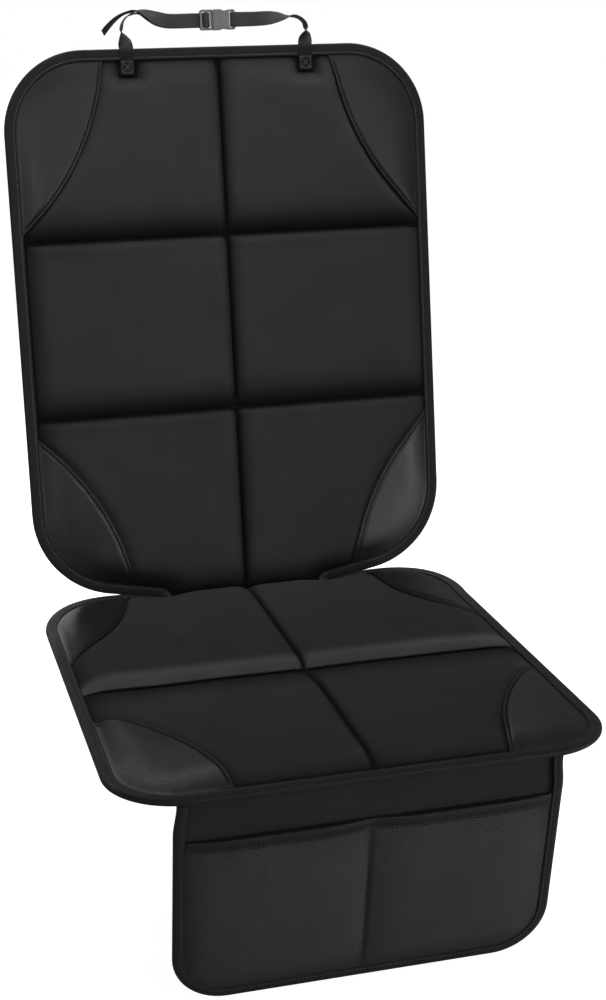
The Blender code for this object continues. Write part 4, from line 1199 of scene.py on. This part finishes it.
ACROSS = Vector((1.0, 0.0, 0.0))
UP = Vector((0.0, 1.0, 0.0))
REAR = Vector((0.0, 0.0, -1.0))
STRAP_FRAME = (
    Matrix.Translation(Vector(pad_point(np.array(0.0), np.array(BACK_LENGTH), np.array(0.0))))
    @ Matrix.Rotation(FOLD_TURN, 4, "X")
)


def spline(a, b, c, d, t):
    """Smooth curve from b to c, by their neighbours a and d."""
    bend = (2 * a - 5 * b + 4 * c - d) * t * t
    return 0.5 * (2 * b + (c - a) * t + bend + (3 * b - a - 3 * c + d) * t ** 3)


def at(x, y, z, width):
    return (Vector((x, y, z)), width)


def webbing(name, stations, node):
    """Flat webbing with soft edges through (centre, width direction) stations."""
    parts = 6
    ends = [stations[0], *stations, stations[-1]]
    line = []
    for i in range(len(stations) - 1):
        quad = ends[i:i + 4]
        for k in range(parts):
            t = k / parts
            line.append((spline(*[q[0] for q in quad], t), spline(*[q[1] for q in quad], t)))
    line.append(stations[-1])
    half = WEB_WIDTH / 2
    lower = [
        (-half, -0.35), (-half + 0.0004, -0.9), (-half + 0.0016, -1.0), (0.0, -0.92),
        (half - 0.0016, -1.0), (half - 0.0004, -0.9), (half, -0.35),
    ]
    section = lower + [(-across, -lift) for across, lift in lower]
    verts = []
    flat = []
    along = 0.0
    for i, (centre, width) in enumerate(line):
        if i:
            along += (centre - line[i - 1][0]).length
        tangent = (line[min(i + 1, len(line) - 1)][0] - line[max(i - 1, 0)][0]).normalized()
        width = (width - tangent * width.dot(tangent)).normalized()
        off = tangent.cross(width) * (WEB_THICK / 2)
        for across, lift in section:
            verts.append(tuple(STRAP_FRAME @ (centre + width * across + off * lift)))
            flat.append((along, across, 0.0))
    faces = tube_faces(len(line), len(section))
    return placed(make(name, np.array(verts), faces, flat, [WEB], crease=60.0), "webbing", node)


def twisted(turn):
    return UP * math.sin(turn) + REAR * math.cos(turn)


def anchor_stations(side):
    x = side * ANCHOR_U
    z = WEB_ON_PAD
    return [
        at(x, -ANCHOR_DEPTH, z, ACROSS),
        at(x, -ANCHOR_DEPTH / 2, z, ACROSS),
        at(x, -GAP * 3, z, ACROSS),
        at(x + side * WEB_THICK / 2, WEB_WIDTH / 4, z, ACROSS),
        at(x + side * WEB_THICK * 2, WEB_WIDTH * 3 / 4, BUCKLE_STAND, (ACROSS + REAR).normalized()),
    ]


def arch_stations(side, top_u, base, top, out):
    reach = ANCHOR_U + out - top_u
    turns = [math.pi / 6 * k for k in range(4)]
    return [
        at(side * (top_u + reach * math.cos(a)), base + (top - base) * math.sin(a), BUCKLE_STAND, REAR)
        for a in turns
    ]


def descent_stations(side, top_u, top, flat_u, flat_z):
    stations = []
    for share in (1 / 3, 2 / 3, 1.0):
        turn = math.pi / 2 * math.sin(math.pi / 2 * share)
        x = top_u + (flat_u - top_u) * share
        y = top + (BUCKLE_RISE - top) * float(smooth(share))
        z = BUCKLE_STAND + (flat_z - BUCKLE_STAND) * math.sin(turn)
        stations.append(at(side * x, y, z, twisted(turn)))
    return stations


def tail_stations():
    stations = []
    for share in (0.0, 0.3, 0.6, 0.87, 1.0):
        x = -LEFT_ARCH_U - TAIL_REACH * share
        y = TAIL_TOP - TAIL_DROP * share * share
        fall = Vector((-TAIL_REACH, -2 * TAIL_DROP * share, 0.0)).normalized()
        facing = fall.cross(REAR)
        turn = TAIL_TWIST * float(smooth(share))
        stations.append(at(x, y, BUCKLE_STAND, REAR * math.cos(turn) + facing * math.sin(turn)))
    return stations


def anchor_stitches():
    """A sewn box with a cross in it on each webbing end."""
    out = np.array(STRAP_FRAME.to_3x3() @ -REAR)
    top = WEB_ON_PAD + WEB_THICK / 2
    half = WEB_WIDTH / 2 - ANCHOR_STITCH_INSET
    low, high = -ANCHOR_DEPTH + 0.002, -TAPE_WIDTH - 0.001
    for side in (-1.0, 1.0):
        left, right = side * ANCHOR_U - half, side * ANCHOR_U + half
        runs = [
            [(left, low), (right, low), (right, high), (left, high), (left, low)],
            [(left, low), (right, high)],
            [(left, high), (right, low)],
        ]
        for run in runs:
            for a, b in zip(run, run[1:]):
                ends = [STRAP_FRAME @ Vector((x, y, top)) for x, y in (a, b)]
                points = np.array([tuple(ends[0].lerp(ends[1], k / 8)) for k in range(9)])
                stitch_row(points, np.tile(out, (9, 1)), pitch=0.0028, length=0.0021, thick=0.0004)
    stitch_mesh("anchor_thread", THREAD, "webbing")


def bar_stations(places):
    """Stations of flat webbing round a buckle's bar, by their places across and out of the mat."""
    return [at(x, BUCKLE_RISE, z, UP) for x, z in places]


def ladder_stations(load, tail, near):
    """Round the bar of the latch: in on the load side, over the bar and out on the tail side."""
    inner = LATCH_END + 2 * LATCH_BAR + 1.5 * LATCH_SLOT
    outer = LATCH_END + LATCH_BAR + 0.5 * LATCH_SLOT
    corner = WEB_THICK
    return bar_stations([
        (-FLAT_TAIL_U, load), (outer, load), (inner - corner, load),
        (inner, load + corner * 1.4), (inner, near - corner), (inner - corner, near),
        (outer + corner, near), (outer, near - corner), (outer, tail + corner),
        (outer - corner, tail), (-FLAT_TAIL_U, tail),
    ])


def loop_stations(tail, near, pressed):
    """Round the bar of the socket and back, sewn to itself."""
    slot = SOCKET_END - LATCH_BAR - LATCH_SLOT / 2
    corner = WEB_THICK
    return bar_stations([
        (SEWN_FLAT_U, BUCKLE_STAND + pressed), (SEWN_START_U, BUCKLE_STAND + pressed * 2),
        (SOCKET_END, near + GAP), (slot + corner, near), (slot, near - corner),
        (slot, tail + corner), (slot + corner, tail), (SOCKET_END, tail - GAP),
        (SEWN_START_U, BUCKLE_STAND - pressed * 2), (SEWN_FLAT_U, BUCKLE_STAND - pressed),
        (SEWN_END_U, BUCKLE_STAND - pressed),
    ])


def build_straps():
    near = BUCKLE_STAND + LATCH_THICK / 2 + GAP + WEB_THICK / 2
    tail = BUCKLE_STAND - LATCH_THICK / 2 - GAP - WEB_THICK / 2
    load = tail - WEB_THICK - GAP
    left = anchor_stations(-1.0)
    left += arch_stations(-1.0, LEFT_ARCH_U, LEFT_ARCH_BASE, LEFT_ARCH_TOP, LEFT_ARCH_OUT)
    left += descent_stations(-1.0, LEFT_ARCH_U, LEFT_ARCH_TOP, LEFT_FLAT_U, load)
    left += ladder_stations(load, tail, near)
    left += descent_stations(-1.0, LEFT_ARCH_U, TAIL_TOP, LEFT_FLAT_U, tail)[::-1] + tail_stations()
    webbing("webbing_left", left, "strap_left")
    pressed = WEB_THICK / 2 + GAP
    right = anchor_stations(1.0)
    right += arch_stations(1.0, RIGHT_ARCH_U, RIGHT_ARCH_BASE, RIGHT_ARCH_TOP, RIGHT_ARCH_OUT)
    right += descent_stations(1.0, RIGHT_ARCH_U, RIGHT_ARCH_TOP, RIGHT_FLAT_U, BUCKLE_STAND + pressed)
    right += loop_stations(tail, near, pressed)
    webbing("webbing_right", right, "strap_right")
    anchor_stitches()
    for name in ("buckle_latch", "buckle_socket"):
        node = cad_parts[name]
        node.data.materials.clear()
        node.data.materials.append(PLASTIC)


# Floor, light and background

def emitter(name, size, power, place, target, spread=180.0):
    data = bpy.data.lights.new(name, "AREA")
    data.shape = "RECTANGLE"
    data.size, data.size_y = size
    data.energy = power
    data.spread = math.radians(spread)
    lamp = linked(name, data)
    lamp.location = place
    lamp.rotation_euler = (Vector(place) - Vector(target)).to_track_quat("Z", "Y").to_euler()
    return lamp


def floor_material():
    """White floor: it keeps the object's shadow and fades into the white round it."""
    n = Nodes("floor_white")
    x, y, _ = n.axes(n.object())
    away = n.math("SQRT", n.math("ADD", n.product(x, x), n.product(y, y)))
    glow = n.range(away, 0.30, 0.90, 0.90, 1.0)
    seen = n.add("ShaderNodeLightPath", out=0)
    n.put(n.shader.inputs["Emission Color"], WHITE)
    n.put(n.shader.inputs["Emission Strength"], n.product(glow, seen))
    return n.finish((0.45, 0.45, 0.45, 1.0), 0.95, None, Specular_IOR_Level=0.0)


def make_floor():
    bm = bmesh.new()
    bmesh.ops.create_grid(bm, x_segments=2, y_segments=2, size=12.0)
    mesh = bpy.data.meshes.new("floor")
    bm.to_mesh(mesh)
    bm.free()
    mesh.materials.append(floor_material())
    floor = linked("floor", mesh)
    floor.location.z = CAD_BOX[0][2] - 0.0005


def make_world():
    """White where the camera sees it, and a weak even light on the object."""
    world = bpy.data.worlds.new("studio")
    bpy.context.scene.world = world
    world.use_nodes = True
    tree = world.node_tree
    tree.nodes.clear()
    out = tree.nodes.new("ShaderNodeOutputWorld")
    mix = tree.nodes.new("ShaderNodeMixShader")
    path = tree.nodes.new("ShaderNodeLightPath")
    tree.links.new(path.outputs["Is Camera Ray"], mix.inputs[0])
    for index, strength in ((1, WORLD_LIGHT), (2, 1.0)):
        shade = tree.nodes.new("ShaderNodeBackground")
        shade.inputs[0].default_value = WHITE
        shade.inputs[1].default_value = strength
        tree.links.new(shade.outputs[0], mix.inputs[index])
    tree.links.new(mix.outputs[0], out.inputs[0])


def make_lights():
    key = emitter("key", (1.0, 0.8), 9.3, (0.15, -0.38, 2.2), (0.0, 0.44, 0.71), 46.0)
    key.visible_glossy = False
    emitter("strip", (0.45, 0.55), 5.2, (0.40, -1.65, 0.97), (0.0, 0.1, 0.4))
    emitter("left", (0.15, 0.9), 1.6, (-1.35, -1.1, 0.6), (0.1, 0.3, 0.35), 90.0)
    emitter("low", (0.9, 0.22), 2.4, (1.35, -1.2, -0.09), (0.0, -0.25, -0.15), 60.0)
    emitter("top", (1.2, 0.5), 3.0, (0.0, 1.0, 1.7), (0.0, -0.1, 0.0), 120.0)
    emitter("rear", (0.9, 0.7), 4.5, (0.0, 2.5, 1.1), (0.0, 0.33, 0.3), 90.0)
    bpy.context.scene.view_settings.view_transform = "Standard"


make_camera()
build_pad()
quilting_stitches()
build_binding()
build_flap()
build_mesh()
build_hem()
build_straps()
make_floor()
make_world()
make_lights()
